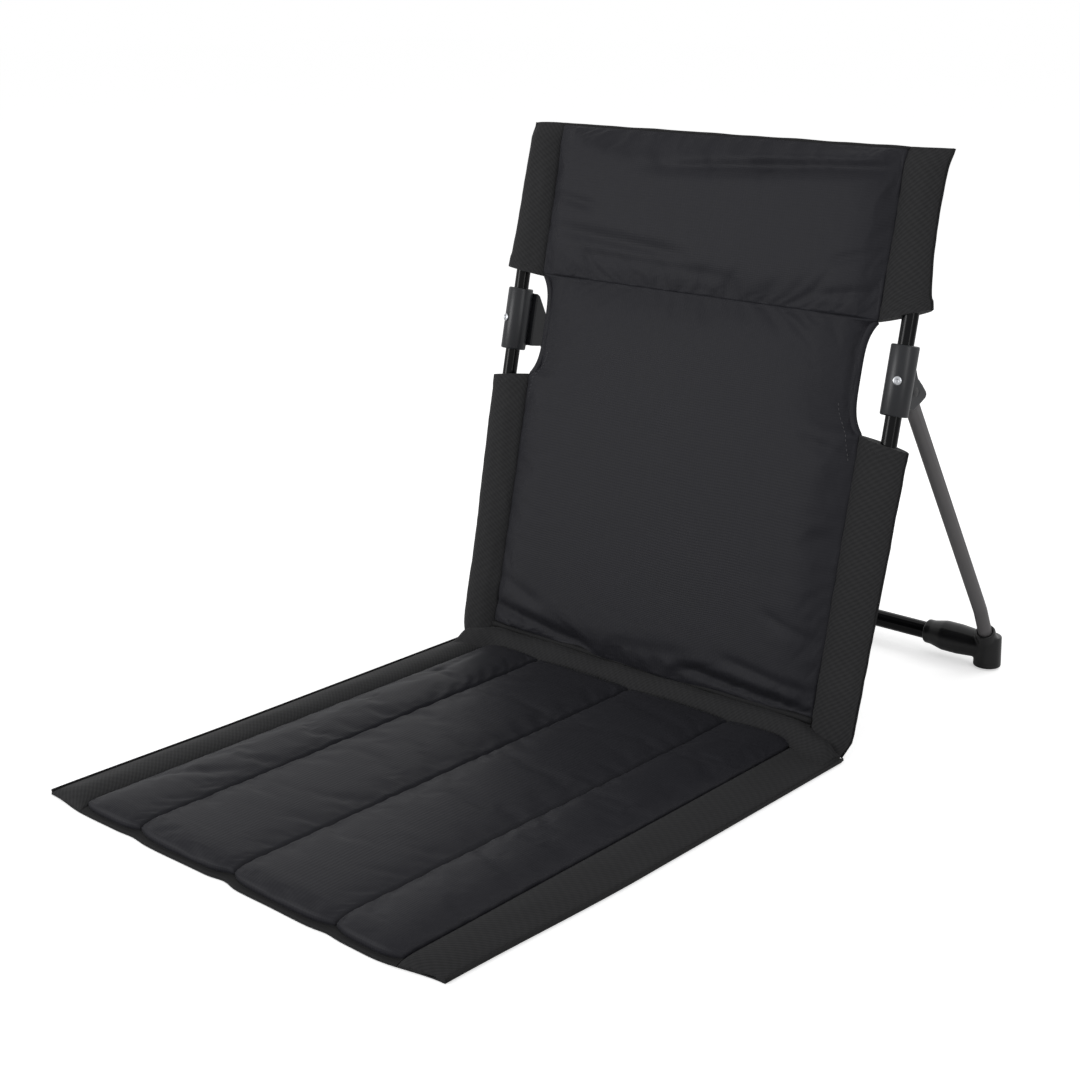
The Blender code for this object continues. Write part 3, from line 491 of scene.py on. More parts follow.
def moulded(shape: BMesh, voxel: float, rounds: int) -> BMesh:
    """Return a shape with the soft edges of a moulding.

    Args:
        shape: The closed shape, which is freed.
        voxel: The size of its new faces.
        rounds: How often it is smoothed.

    Returns:
        The remeshed and smoothed shape.
    """
    mesh = bpy.data.meshes.new("moulding")
    shape.to_mesh(mesh)
    shape.free()
    block = put("moulding", mesh)
    remesh = block.modifiers.new("voxels", "REMESH")
    remesh.mode = "VOXEL"
    remesh.voxel_size = voxel
    graph = bpy.context.evaluated_depsgraph_get()
    smooth = bmesh.new()
    smooth.from_mesh(block.evaluated_get(graph).to_mesh())
    bpy.data.objects.remove(block)
    bpy.data.meshes.remove(mesh)
    for _ in range(rounds):
        bmesh.ops.smooth_vert(smooth, verts=smooth.verts, factor=0.5, use_axis_x=True, use_axis_y=True,
                              use_axis_z=True)
    return smooth


def lathe(shape: BMesh, profile: Sequence[tuple[float, float]], middle: Vector, steps: int) -> None:
    """Turn a profile round an upright line and add it to a shape.

    Args:
        shape: The mesh that gathers the turned form.
        profile: Its radii and heights.
        middle: A point of the line.
        steps: Faces round it.
    """
    others = set(shape.verts)
    points = [shape.verts.new(middle + Vector((radius, 0, height))) for radius, height in profile]
    edges = [shape.edges.new(pair) for pair in zip(points, points[1:])]
    bmesh.ops.spin(shape, geom=points + edges, cent=middle, axis=(0, 0, 1), angle=2 * math.pi, steps=steps,
                   use_merge=True)
    bmesh.ops.remove_doubles(shape, verts=[point for point in shape.verts if point not in others], dist=WELD)
    shape.normal_update()
    bmesh.ops.recalc_face_normals(shape, faces=shape.faces)


@dataclass(frozen=True)
class Settling:
    """How a pad's cloth settles over its filling in the simulation."""

    pressure: float
    slack: float
    reach: float
    frames: int = 20

    def run(self, shape: BMesh, held: Sequence[int]) -> None:
        """Let the cloth settle, and keep the result in the shape.

        Args:
            shape: The cloth.
            held: The numbers of the points that are sewn down.
        """
        mesh = bpy.data.meshes.new("settling")
        shape.to_mesh(mesh)
        cloth = put("settling", mesh)
        cloth.vertex_groups.new(name="held").add(held, 1.0, "REPLACE")
        modifier = cloth.modifiers.new("settle", "CLOTH")
        modifier.point_cache.frame_start, modifier.point_cache.frame_end = 1, self.frames
        modifier.collision_settings.use_collision = False
        rules = modifier.settings
        rules.quality = 6
        rules.mass = 0.2
        rules.tension_stiffness = rules.compression_stiffness = 18.0
        rules.shear_stiffness = 8.0
        rules.bending_stiffness = 0.25
        rules.air_damping = 4.0
        rules.use_pressure = True
        rules.uniform_pressure_force = self.pressure
        rules.shrink_min = -self.slack
        rules.vertex_group_mass = "held"
        rules.effector_weights.gravity = 0.0
        scene = bpy.context.scene
        for frame in range(1, self.frames + 1):
            scene.frame_set(frame)
        graph = bpy.context.evaluated_depsgraph_get()
        settled = cloth.evaluated_get(graph).to_mesh()
        for point, moved in zip(shape.verts, settled.vertices):
            shift = moved.co - point.co
            if shift.length > 0:
                point.co += shift * (self.reach * math.tanh(shift.length / self.reach) / shift.length)
        scene.frame_set(1)
        bpy.data.objects.remove(cloth)
        bpy.data.meshes.remove(mesh)


@dataclass(frozen=True)
class Crease:
    """A soft fold in a pad's cloth along a straight line; a negative depth is a ridge."""

    start: tuple[float, float]
    stop: tuple[float, float]
    depth: float
    width: float
    fade: float = 0.2

    def dip(self, x: float, y: float) -> float:
        """Return how far the fold sinks at a place on the pad."""
        first, run = Vector(self.start), Vector(self.stop) - Vector(self.start)
        share = (Vector((x, y)) - first).dot(run) / run.length_squared
        if not -self.fade < share < 1 + self.fade:
            return 0.0
        away = (Vector((x, y)) - first - run * share).length
        return (self.depth * hump(away, self.width) * ease((share + self.fade) / (2 * self.fade))
                * ease((1 + self.fade - share) / (2 * self.fade)))


@dataclass(frozen=True)
class PadEdge:
    """How a pad rises from one of its edges: its height there as a share of the crown, and the run to full."""

    share: float
    run: float

    def rise(self, distance: float) -> float:
        """Return the height at a distance from the edge, as a share of the crown."""
        return mix(self.share, 1.0, dome(distance / self.run))


@dataclass(frozen=True)
class BackPlan:
    """Sizes of the back cover in the back's own frame."""

    tilt: float = math.radians(12.2)
    foot_y: float = 0.09275
    height: float = 0.484
    cover_half: float = 0.2125
    sleeve_width: float = 0.0365
    headrest_seam: float = 0.349
    cut_low: float = 0.251
    cut_bite: float = 0.010
    cut_fill: float = 0.006
    hem: float = 0.007
    panel_low: float = 0.02205
    tube_x: float = 0.201
    tube_low: float = 0.0249
    tube_high: float = 0.4645
    tube_radius: float = 0.0065

    @property
    def seam_x(self) -> float:
        """Return the place of the seam between the padded panels and the sleeves."""
        return self.cover_half - self.sleeve_width

    @property
    def matrix(self) -> Matrix:
        """Return the turn and shift from the back's own frame to the chair's."""
        return Matrix.Translation((0, self.foot_y, 0)) @ Matrix.Rotation(-self.tilt, 4, "X")

    def bite(self, s: float) -> float:
        """Return how deep the cut-outs are at a height, as a share of their depth."""
        low = self.cut_low + self.cut_fill
        reach = (s - low) / (self.headrest_seam - low) * 2 - 1
        return max(0.0, 1 - reach**4)

    def half_width(self, s: float) -> float:
        """Return half the padded panels' width at a height, with the side cut-outs."""
        return self.seam_x - SEAM_GAP - self.cut_bite * self.bite(s)

    def cut_hem(self, s: float) -> float:
        """Return the width at a height of the flat hem along the cut-outs."""
        return self.hem * ease(2 * self.bite(s))


@dataclass(frozen=True)
class BackPad:
    """A padded panel of the back: front cloth over a foam sheet, sewn all round."""

    plan: BackPlan
    name: str
    nodes: tuple[str, str]
    low: float
    high: float
    low_edge: PadEdge
    high_edge: PadEdge
    crown: float
    creases: tuple[Crease, ...]
    settling: Settling
    rows: int
    columns: int = 104
    side_edge: PadEdge = PadEdge(0.0, 0.040)
    edge: float = 0.0015
    pucker: float = 0.0011
    seed: float = 1.0
    drawn: float = 0.0
    drawn_from: float = 0.030
    drawn_run: float = 0.080
    gather_reach: float = 0.022
    least: float = 0.0008
    rear: float = -0.0002

    def height(self, x: float, s: float) -> float:
        """Return how far the pad stands forward at a place."""
        side = self.side_edge.rise(self.plan.half_width(s) - abs(x) - self.plan.cut_hem(s))
        ends = self.low_edge.rise(s - self.foot(x)) * self.high_edge.rise(self.high - s)
        return self.edge + self.crown * side * ends

    def foot(self, x: float) -> float:
        """Return the height of the pad's lower edge, which is drawn up near its corners."""
        share = ease((abs(x) - self.drawn_from) / self.drawn_run)
        return self.low + self.drawn * (share + 0.35 * drift(x / 0.05, 0, self.seed))

    def gathers(self, x: float, s: float) -> float:
        """Return the short puckers that the side seams pull into the cloth."""
        inside = self.plan.half_width(s) - abs(x)
        ripple = drift(s / 0.011 + 0.3 * drift(x / 0.02, s / 0.02, self.seed), x / 0.045, self.seed + 7.0)
        hemmed = 1 - self.plan.cut_hem(s) / self.plan.hem
        return self.pucker * hemmed * ripple * math.exp(-inside / self.gather_reach) * ease(inside / 0.004)

    def place(self, u: float, v: float) -> Vector:
        """Return a point of the cloth before it settles."""
        across = 2 * crowd(u, 0.55) - 1
        s = mix(self.foot(across * self.plan.seam_x), self.high, crowd(v, 0.55))
        x = across * self.plan.half_width(s)
        return Vector((x, -self.height(x, s), s))

    def build(self, finish: Finish) -> Object:
        """Settle the cloth, press its folds in and close it behind.

        Args:
            finish: The cloth's finish.

        Returns:
            The padded piece.
        """
        flat = (2 * self.plan.seam_x, self.high - self.low)
        shape = cloth_grid(self.columns, self.rows, self.place, flat)
        self.settling.run(shape, [point.index for point in shape.verts if point.is_boundary])
        refine(shape)
        for point in shape.verts:
            x, s = point.co.x, point.co.z
            if not point.is_boundary:
                point.co.y += sum(crease.dip(x, s) for crease in self.creases) - self.gathers(x, s)
                point.co.y = min(point.co.y, -self.least)
        close_behind(shape, 1, self.rear)
        piece = add_piece(self.name, shape, finish, Slot.SMOOTH, Body.BACK, self.nodes, self.plan.matrix)
        return piece


@dataclass(frozen=True)
class Sleeve:
    """A cloth sleeve round one side tube: full round the tube, flat at its seam, hemmed at its open end."""

    plan: BackPlan
    side: Side
    name: str
    node: str
    low: float
    high: float
    depth: Callable[[float], float]
    flare: Callable[[float], float]
    hem_at: float
    rows: int
    ear: float = 0.0
    hem_tilt: tuple[float, float] = (0.0, 0.0)
    waist: float = 0.0
    columns: int = 56
    flare_reach: float = 0.006
    tuck: float = 0.0022
    hem: float = 0.012
    hem_lift: float = 0.0006
    slack: float = 0.0007
    ripple: float = 0.0004
    tilt_run: float = 0.030
    girth: float = 2.3
    seam_share: float = 0.65
    # The foot sinks to the floor and draws in: how far, from which height, and over which run.
    sink: tuple[float, float, float] = (0.0027, 0.030, 0.026)
    draw: tuple[float, float, float] = (0.0070, 0.026, 0.024)
    # The top corner: the run of the ear below the top, and how much of it goes up.
    ear_run: float = 0.016
    ear_rise: float = 0.45

    @property
    def middle(self) -> float:
        """Return the place across of the sleeve's middle."""
        return self.plan.cover_half - self.plan.sleeve_width / 2

    def lift(self, s: float, turn: float) -> float:
        """Return how far the cloth stands off its plain section: a doubled hem, ripples and slack."""
        doubled = self.hem_lift * ease((self.hem - abs(s - self.hem_at)) / 0.0015)
        slack = self.slack * drift(s / 0.045, 2 * math.cos(turn), self.side.value + self.low * 9)
        ripple = self.ripple * drift(s / 0.012, 3 * math.sin(turn), 3.0 + self.side.value)
        return doubled + slack + ripple

    def tilt(self, s: float, outer: float) -> float:
        """Return how far the open end is drawn up at a height, from its seam to its outer edge."""
        return ease((self.tilt_run - abs(s - self.hem_at)) / self.tilt_run) * mix(*self.hem_tilt, outer)

    def place(self, u: float, v: float) -> Vector:
        """Return a point of the sleeve."""
        turn = 2 * math.pi * u
        s = mix(self.low, self.high, v)
        outer = (1 + math.cos(turn)) / 2
        half = self.plan.sleeve_width / 2 - SEAM_GAP
        across = half * math.cos(turn) + self.flare_reach * self.flare(v) * outer - self.tuck * (1 - outer)
        full = mix(self.seam_share, 1.0, math.sqrt(outer))
        thick = self.depth(s) / 2 * full * math.sin(turn)
        lift = self.lift(s, turn)
        drop, drop_from, drop_run = self.sink
        sink = ease((drop_from - s) / drop_run) * (drop - math.tan(self.plan.tilt) * thick)
        corner = ease((s - self.plan.height + self.ear_run) / self.ear_run) * outer**2
        draw, draw_from, draw_run = self.draw
        across += lift * math.cos(turn) + self.ear * corner - draw * ease((draw_from - s) / draw_run) ** 2 * outer
        across -= self.waist * math.sin(math.pi * v) * outer
        return Vector((self.side.value * (self.middle + across), thick + lift * math.sin(turn),
                       s + self.tilt(s, outer) - sink + self.ear_rise * self.ear * corner))

    def edge_line(self, steps: int) -> list[Vector]:
        """Return the line of the sleeve's outer edge, from its low end to its high end."""
        return [self.place(0.0, share) for share in shares(steps)]

    def build(self, finish: Finish, rests_on: Object) -> Object:
        """Shape the sleeve and give it its cloth's thickness.

        Args:
            finish: The cloth's finish.
            rests_on: The tube that it is drawn over; not used.

        Returns:
            The sleeve.
        """
        flat = (self.girth * self.plan.sleeve_width, self.high - self.low)
        shape = cloth_grid(self.columns, self.rows, self.place, flat)
        close_tube(shape)
        piece = add_piece(self.name, shape, finish, Slot.OXFORD, Body.BACK, (self.node,), self.plan.matrix, 50.0)
        return thicken(piece)


@dataclass(frozen=True)
class Stitching:
    """Rows of sewing stitches that lie on a finished surface."""

    length: float = 0.0024
    gap: float = 0.0014
    width: float = 0.0007

    def row(self, shape: BMesh, surface: BVHTree, line: Sequence[Vector], inwards: Vector) -> None:
        """Sew a row of stitches.

        Args:
            shape: The mesh that gathers the stitches.
            surface: What they lie on.
            line: The row's points, off the surface.
            inwards: The direction from the line to the surface.
        """
        left = 0.0
        for first, second in zip(line, line[1:]):
            run = (second - first).length
            while left < run:
                point = first.lerp(second, left / run)
                found, normal, _, _ = surface.ray_cast(point, inwards)
                left += self.length + self.gap
                if found is None:
                    continue
                along = (second - first).normalized()
                along = (along - normal * along.dot(normal)).normalized()
                frame = Matrix((along, normal.cross(along), normal)).transposed().to_4x4()
                size = Matrix.Diagonal((self.length / 2, self.width / 2, self.width / 2, 1.0))
                bmesh.ops.create_uvsphere(shape, u_segments=6, v_segments=4, radius=1.0,
                                          matrix=Matrix.Translation(found) @ frame @ size)
            left -= run


def surface_of(piece: Object) -> BVHTree:
    """Return a search tree of a piece's finished surface."""
    bpy.context.view_layer.update()
    return BVHTree.FromObject(piece, bpy.context.evaluated_depsgraph_get())


@dataclass
class BackFrame:
    """The back's tubes, hinge barrels, rivets, pins and hidden sockets."""

    nodes: dict[str, Object]
    palette: Palette
    plan: BackPlan
    hinge_height: float = 0.305
    barrel_radius: float = 0.01125
    barrel_length: float = 0.056
    lug_stretch: float = 0.50
    lug_shoulder: float = 0.009
    lug_root: float = 0.0072
    shoulder_run: float = 0.006
    shoulder_fade: tuple[float, float] = (0.026, 0.010)
    lip_reach: tuple[float, float] = (0.009, 0.011)
    lip_radius: float = 0.0065
    pin_behind: float = 0.026
    pin_drop: float = 0.008
    pin_flush: float = 0.88
    bore_gap: float = 0.0003
    leg_angle: float = math.radians(46.4)
    rivet_turn: float = math.radians(20.0)
    tubes: dict[Side, Object] = field(default_factory=dict)

    def build(self) -> None:
        """Build the frame on both sides and the tube at the fold."""
        for side in Side:
            label = side.label
            self.tubes[side] = self.side_tube(side)
            self.smooth("tube_cap_" + label, "tube_plug_" + label, self.palette.foot, Slot.HIDDEN)
            self.smooth("base_elbow_" + label, "corner_socket_" + label, self.palette.foot, Slot.HIDDEN)
            self.pin(side)
            self.barrel(side)
            self.rivet(side)
        self.smooth("base_cross_tube", "bottom_tube", self.palette.enamel, Slot.GLOSS_STEEL)

    def smooth(self, node: str, name: str, finish: Finish, slot: Slot) -> None:
        """Replace a node by a smooth copy of itself."""
        add_piece(name, node_copy(self.nodes[node]), finish, slot, Body.BACK, (node,), None, 35.0)

    def side_tube(self, side: Side) -> Object:
        """Build the tube up one side of the back."""
        plan = self.plan
        heights = [mix(plan.tube_low, plan.tube_high, share) for share in shares(12)]
        path = [Vector((side.value * plan.tube_x, 0.0, s)) for s in heights]
        shape = sweep(path, plan.tube_radius, plan.tube_radius, FORWARD, 36)
        return add_piece("side_tube_" + side.label, shape, self.palette.enamel, Slot.GLOSS_STEEL, Body.BACK,
                         ("back_tube_" + side.label,), plan.matrix, 50.0)

    def pin(self, side: Side) -> None:
        """Set a hinge pin with its heads flush in the lug's cheeks."""
        node = "pivot_pin_" + side.label
        shape = node_copy(self.nodes[node])
        middle = sum(point.co.x for point in shape.verts) / len(shape.verts)
        flush = Matrix.Translation((middle, 0, 0)) @ Matrix.Scale(self.pin_flush, 4, (1, 0, 0))
        flush @= Matrix.Translation((-middle, 0, 0))
        add_piece("hinge_pin_" + side.label, shape, self.palette.pin, Slot.PIN, Body.BACK, (node,), flush, 35.0)

    def barrel(self, side: Side) -> None:
        """Turn a hinge barrel with soft rims, and mould its lug behind it."""
        plan, node = self.plan, "hinge_sleeve_" + side.label
        lug = node_copy(self.nodes[node])
        bmesh.ops.transform(lug, matrix=plan.matrix.inverted(), verts=lug.verts)
        geometry = lug.verts[:] + lug.edges[:] + lug.faces[:]
        bmesh.ops.bisect_plane(lug, geom=geometry, plane_co=(0, self.lug_root, 0), plane_no=(0, 1, 0),
                               clear_inner=True)
        close_tube(lug)
        shape = moulded(lug, 0.0005, 10)
        self.round_lip(shape)
        half, radius, bore = self.barrel_length / 2, self.barrel_radius, plan.tube_radius + self.bore_gap
        rim = [(bore, half), (radius - 0.0012, half), (radius - 0.0004, half - 0.0003), (radius, half - 0.0012)]
        profile = [(reach, -rise) for reach, rise in rim] + rim[::-1] + [(bore, -half)]
        lathe(shape, [(reach, self.hinge_height + rise) for reach, rise in profile],
              Vector((side.value * plan.tube_x, 0, 0)), 64)
        add_piece("hinge_barrel_" + side.label, shape, self.palette.hinge, Slot.HINGE, Body.BACK, (node,),
                  plan.matrix, 50.0)

    def round_lip(self, shape: BMesh) -> None:
        """Round the outer corner of a lug, slope its top, and draw it out to the rear of its pin."""
        down = Vector((0, math.sin(self.leg_angle), -math.cos(self.leg_angle)))
        rear = Vector((0, math.cos(self.leg_angle), math.sin(self.leg_angle)))
        middle = Vector((0, self.pin_behind, self.hinge_height - self.pin_drop))
        to_rear, to_low = self.lip_reach
        middle += rear * (to_rear - self.lip_radius) + down * (to_low - self.lip_radius)
        fade_end, fade_run = self.shoulder_fade
        for point in shape.verts:
            away = point.co - middle
            away.x = 0
            if away.dot(rear) > 0 and away.dot(down) > 0 and away.length > self.lip_radius:
                point.co -= away * (1 - self.lip_radius / away.length)
            before = clamp((self.pin_behind - point.co.y) / (self.pin_behind - self.lug_root))
            rise = point.co.z - self.hinge_height
            point.co.z += (self.lug_shoulder * before * clamp(rise / self.shoulder_run)
                           * clamp((fade_end - rise) / fade_run))
            point.co.y += self.lug_stretch * max(0.0, point.co.y - self.pin_behind)

    def rivet(self, side: Side) -> None:
        """Turn a rivet with a dished head and set it in its barrel."""
        profile = ((0.0, 0.0007), (0.0009, 0.0007), (0.0013, 0.0011), (0.0019, 0.0013), (0.0027, 0.0012),
                   (0.0034, 0.0007), (0.0035, 0.0), (0.0020, 0.0), (0.0020, -0.009), (0.0, -0.009))
        shape = bmesh.new()
        lathe(shape, profile, Vector((0, 0, 0)), 32)
        out = Vector((side.value * math.sin(self.rivet_turn), -math.cos(self.rivet_turn), 0.0))
        seat = Vector((side.value * self.plan.tube_x, 0.0, self.hinge_height)) + out * (self.barrel_radius + 0.0002)
        turn = Matrix.Rotation(side.value * self.rivet_turn, 4, "Z") @ Matrix.Rotation(math.pi / 2, 4, "X")
        add_piece("barrel_rivet_" + side.label, shape, self.palette.rivet, Slot.RIVET, Body.BACK,
                  ("sleeve_rivet_" + side.label,), self.plan.matrix @ Matrix.Translation(seat) @ turn, 40.0)


@dataclass
class RearLeg:
    """The folding leg: two struts, the tube on the ground and its corner feet."""

    nodes: dict[str, Object]
    palette: Palette
    foot_x: float = 0.1945
    foot_y: float = 0.35475
    foot_radius: float = 0.0115
    foot_taper: float = 0.001
    foot_block: tuple[float, float] = (0.0008, 0.0300)

    def build(self) -> None:
        """Build the leg."""
        for side in Side:
            label = side.label
            add_piece("leg_strut_" + label, node_copy(self.nodes["leg_tube_" + label]), self.palette.powder,
                      Slot.GREY_STEEL, Body.LEG, ("leg_tube_" + label,), None, 35.0)
            self.foot(side)
        add_piece("ground_tube", node_copy(self.nodes["leg_cross_tube"]), self.palette.enamel, Slot.GLOSS_STEEL,
                  Body.LEG, ("leg_cross_tube",), None, 35.0)

    def foot(self, side: Side) -> None:
        """Mould a corner foot: the node's form with its end filled out to one upright, rounded block."""
        shape = node_copy(self.nodes["foot_elbow_" + side.label])
        low, high = self.foot_block
        middle = Vector((side.value * self.foot_x, self.foot_y, (low + high) / 2))
        bmesh.ops.create_cone(shape, cap_ends=True, segments=48, radius1=self.foot_radius + self.foot_taper,
                              radius2=self.foot_radius, depth=high - low, matrix=Matrix.Translation(middle))
        add_piece("corner_foot_" + side.label, moulded(shape, 0.0007, 9), self.palette.foot, Slot.FOOT, Body.LEG,
                  ("foot_elbow_" + side.label,))


@dataclass
class BackCover:
    """The back's soft cover: two padded panels, rear cloth, pockets, sleeves, bindings, near-black strips of painted
    shade and stitches.
    """

    plan: BackPlan
    palette: Palette
    tubes: dict[Side, Object]

    def build(self) -> None:
        """Build the cover's pieces and sew them."""
        lower = self.panels()
        self.sew_cutouts(surface_of(lower))
        rear = self.rear_cloth()
        for side in Side:
            pocket, sleeve = self.pocket(side), self.sleeve(side)
            made = [part.build(self.palette.oxford, self.tubes[side]) for part in (pocket, sleeve)]
            self.sew_hems(side, (pocket, sleeve), made)
            # Near-black strips of painted shade along the sleeves' folded outer edges.
            self.shade_piping(side, (pocket, sleeve))
            self.cutout_binding(side)
        self.edge_binding("top_tape", self.plan.height - 0.0018, 0.0020, -0.0002)
        # Painted shade: a near-black strip along the lower panel's foot that stands in for the shadowed crease above
        # the fold roll.
        self.edge_binding("bottom_shade_strip", self.plan.panel_low + 0.0012, 0.0030, -0.0034)
        self.fold_roll()
        self.sew_rear(rear)

    def panels(self) -> Object:
        """Build the headrest and the lower panel, and return the lower one."""
        plan, seam = self.plan, self.plan.headrest_seam
        folds = (Crease((-0.05, 0.4525), (0.172, 0.4655), 0.0042, 0.0058),
                 Crease((0.02, 0.4660), (0.170, 0.4740), -0.0018, 0.0050),
                 Crease((-0.15, 0.3900), (-0.02, 0.3800), 0.0026, 0.0066),
                 Crease((-0.17, 0.4200), (-0.12, 0.4130), 0.0020, 0.0045),
                 Crease((-0.13, 0.3720), (0.03, 0.3660), 0.0018, 0.0058),
                 Crease((0.13, 0.3900), (0.172, 0.4010), 0.0012, 0.0040),
                 Crease((0.12, 0.3620), (0.172, 0.3700), 0.0014, 0.0040))
        BackPad(plan, "headrest_cushion", ("headrest_panel", "headrest_foam"), seam, plan.height - 0.002,
                PadEdge(0.66, 0.020), PadEdge(0.10, 0.022), 0.0088, folds, Settling(2.0, 0.008, 0.003), 44,
                seed=4.0).build(self.palette.smooth)
        folds = (Crease((-0.17, 0.0430), (-0.06, 0.0290), 0.0052, 0.0060),
                 Crease((-0.17, 0.0700), (-0.12, 0.0560), 0.0020, 0.0060),
                 Crease((0.05, 0.0370), (0.170, 0.0285), 0.0052, 0.0054),
                 Crease((0.09, 0.0540), (0.172, 0.0440), 0.0018, 0.0050),
                 Crease((-0.03, 0.0400), (0.05, 0.0470), 0.0012, 0.0070),
                 Crease((0.12, 0.1000), (0.172, 0.0850), 0.0012, 0.0050),
                 Crease((0.13, 0.2480), (0.168, 0.2380), 0.0012, 0.0050))
        return BackPad(plan, "back_cushion", ("back_panel", "back_foam"), plan.panel_low, seam,
                       PadEdge(0.40, 0.012), PadEdge(0.66, 0.026), 0.0088, folds, Settling(2.0, 0.005, 0.003), 98,
                       seed=9.0, drawn=0.0032).build(self.palette.smooth)

    def rear_cloth(self) -> Object:
        """Build the cloth behind the foam, drawn flat with faint ripples."""
        plan = self.plan

        def place(u: float, v: float) -> Vector:
            s = mix(plan.panel_low - 0.010, plan.height - 0.001, v)
            x = (1 - 2 * u) * plan.half_width(s)
            ripple = 0.0010 * drift(x / 0.09, s / 0.05, 5.0) + 0.0005 * drift(x / 0.03, s / 0.012, 2.0)
            seam = 0.0009 * hump(s - plan.headrest_seam, 0.0022)
            return Vector((x, 0.0016 + ripple * ease((plan.half_width(s) - abs(x)) / 0.02) - seam, s))

        flat = (2 * plan.seam_x, plan.height - plan.panel_low + 0.010)
        piece = add_piece("rear_cloth", cloth_grid(70, 92, place, flat), self.palette.oxford, Slot.OXFORD, Body.BACK,
                          ("back_rear_cloth",), plan.matrix)
        return thicken(piece, 1)

    def pocket(self, side: Side) -> Sleeve:
        """Return the pocket over a tube's top, which closes to a flat hem."""
        plan = self.plan

        def depth(s: float) -> float:
            return mix(0.0190, 0.0048, ease((s - plan.height + 0.016) / 0.016))

        shapes = {Side.LEFT: (-0.0030, (-0.0030, 0.0020), 0.0), Side.RIGHT: (0.0020, (-0.0020, 0.0130), 0.0035)}
        ear, hem_tilt, waist = shapes[side]
        return Sleeve(plan, side, "pocket_" + side.label, "upper_sleeve_" + side.label, plan.headrest_seam + SEAM_GAP,
                      plan.height, depth, lambda share: (1 - share) ** 2, plan.headrest_seam, 54, ear=ear,
                      hem_tilt=hem_tilt, waist=waist)

    def sleeve(self, side: Side) -> Sleeve:
        """Return the sleeve over a lower tube, which swells over the corner socket."""
        def depth(s: float) -> float:
            return mix(0.0242, 0.0190, ease((s - 0.050) / 0.025))

        return Sleeve(self.plan, side, "sleeve_" + side.label, "lower_sleeve_" + side.label, 0.004,
                      self.plan.cut_low - SEAM_GAP, depth, lambda share: share, self.plan.cut_low, 90,
                      hem_tilt=(0.0070, 0.0))

    def sew_hems(self, side: Side, parts: Sequence[Sleeve], made: Sequence[Object]) -> None:
        """Sew the hems round the cut-out, front and rear."""
        plan, shape, sewing = self.plan, bmesh.new(), Stitching()
        turn = plan.matrix.to_3x3()
        start, stop = plan.seam_x + 0.002, plan.cover_half + 0.002
        for part, piece, s in zip(parts, made, (plan.headrest_seam + plan.hem, plan.cut_low - plan.hem)):
            surface = surface_of(piece)
            for way in (-1, 1):
                line = [plan.matrix @ Vector((side.value * mix(start, stop, share), way * 0.03,
                                              s + part.tilt(s, share))) for share in shares(8)]
                sewing.row(shape, surface, line, turn @ Vector((0, -way, 0)))
        add_piece("hem_stitches_" + side.label, shape, self.palette.thread, Slot.TAPE, Body.BACK)

    def shade_piping(self, side: Side, parts: Sequence[Sleeve]) -> None:
        """Build the thin near-black strip down the outer side of a pocket and a sleeve: painted shade along the
        folded edge, where the cloth turns away from the light.
        """
        for part in parts:
            # Painted shade: the strip's near-black tape finish stands in for the shade along the sleeve's folded
            # outer edge.
            shape = sweep(part.edge_line(39), 0.0010, 0.0014, Vector((side.value, 0, 0)), 8)
            add_piece("edge_" + part.name, shape, self.palette.tape, Slot.TAPE, Body.BACK, (), self.plan.matrix)

    def cutout_binding(self, side: Side) -> None:
        """Build the tape that binds the panel's edge in a cut-out."""
        plan = self.plan
        heights = [mix(plan.cut_low + 0.001, plan.headrest_seam - 0.001, crowd(share, 0.6)) for share in shares(40)]
        path = [Vector((side.value * (plan.half_width(s) - 0.0028), -0.0006, s)) for s in heights]
        shape = sweep(path, 0.0036, 0.0022, FORWARD, 12)
        add_piece("cutout_tape_" + side.label, shape, self.palette.smooth, Slot.TAPE, Body.BACK,
                  ("cutout_binding_" + side.label,), plan.matrix)

    def sew_cutouts(self, surface: BVHTree) -> None:
        """Sew the pale curved rows at the cut-outs' lower corners."""
        plan, shape = self.plan, bmesh.new()
        inwards = plan.matrix.to_3x3() @ -FORWARD
        for side in Side:
            points = []
            for share in shares(16):
                s = mix(plan.cut_low - 0.014, plan.cut_low + 0.030, share)
                inset = mix(0.0060, 0.0125, math.sin(0.5 * math.pi * share))
                points.append(plan.matrix @ Vector((side.value * (plan.half_width(s) - inset), -0.05, s)))
            Stitching().row(shape, surface, points, inwards)
        add_piece("cutout_stitches", shape, self.palette.pale_thread, Slot.TAPE, Body.BACK)

    def edge_binding(self, name: str, s: float, wide: float, depth: float) -> None:
        """Build a thin dark strip along the panels' top or bottom edge. The bottom one is painted shade: a near-black
        strip that stands in for the shadowed crease above the fold roll.

        Args:
            name: The piece's name.
            s: The height that it runs at.
            wide: Half its width.
            depth: Where it lies from front to rear.
        """
        plan = self.plan
        path = [Vector((plan.seam_x * (2 * i / 60 - 1), depth, s + 0.0006 * drift(i / 5, 0, 2.0))) for i in range(61)]
        shape = sweep(path, wide, 0.0022, FORWARD, 10)
        add_piece(name, shape, self.palette.tape, Slot.TAPE, Body.BACK, (), plan.matrix)

    def fold_roll(self) -> None:
        """Build the cloth round the bottom tube, in the fold."""
        middle, radius, half = Vector((0, 0.09504, 0.0106)), 0.0106, 0.1760

        def place(u: float, v: float) -> Vector:
            turn, x = 2 * math.pi * u, half * (2 * v - 1)
            slack = 0.0005 * drift(x / 0.03, 2 * math.cos(turn), 6.0)
            reach = radius + min(slack, 0.0) if math.sin(turn) < -0.5 else radius + slack
            return middle + Vector((x, reach * math.cos(turn), reach * math.sin(turn)))

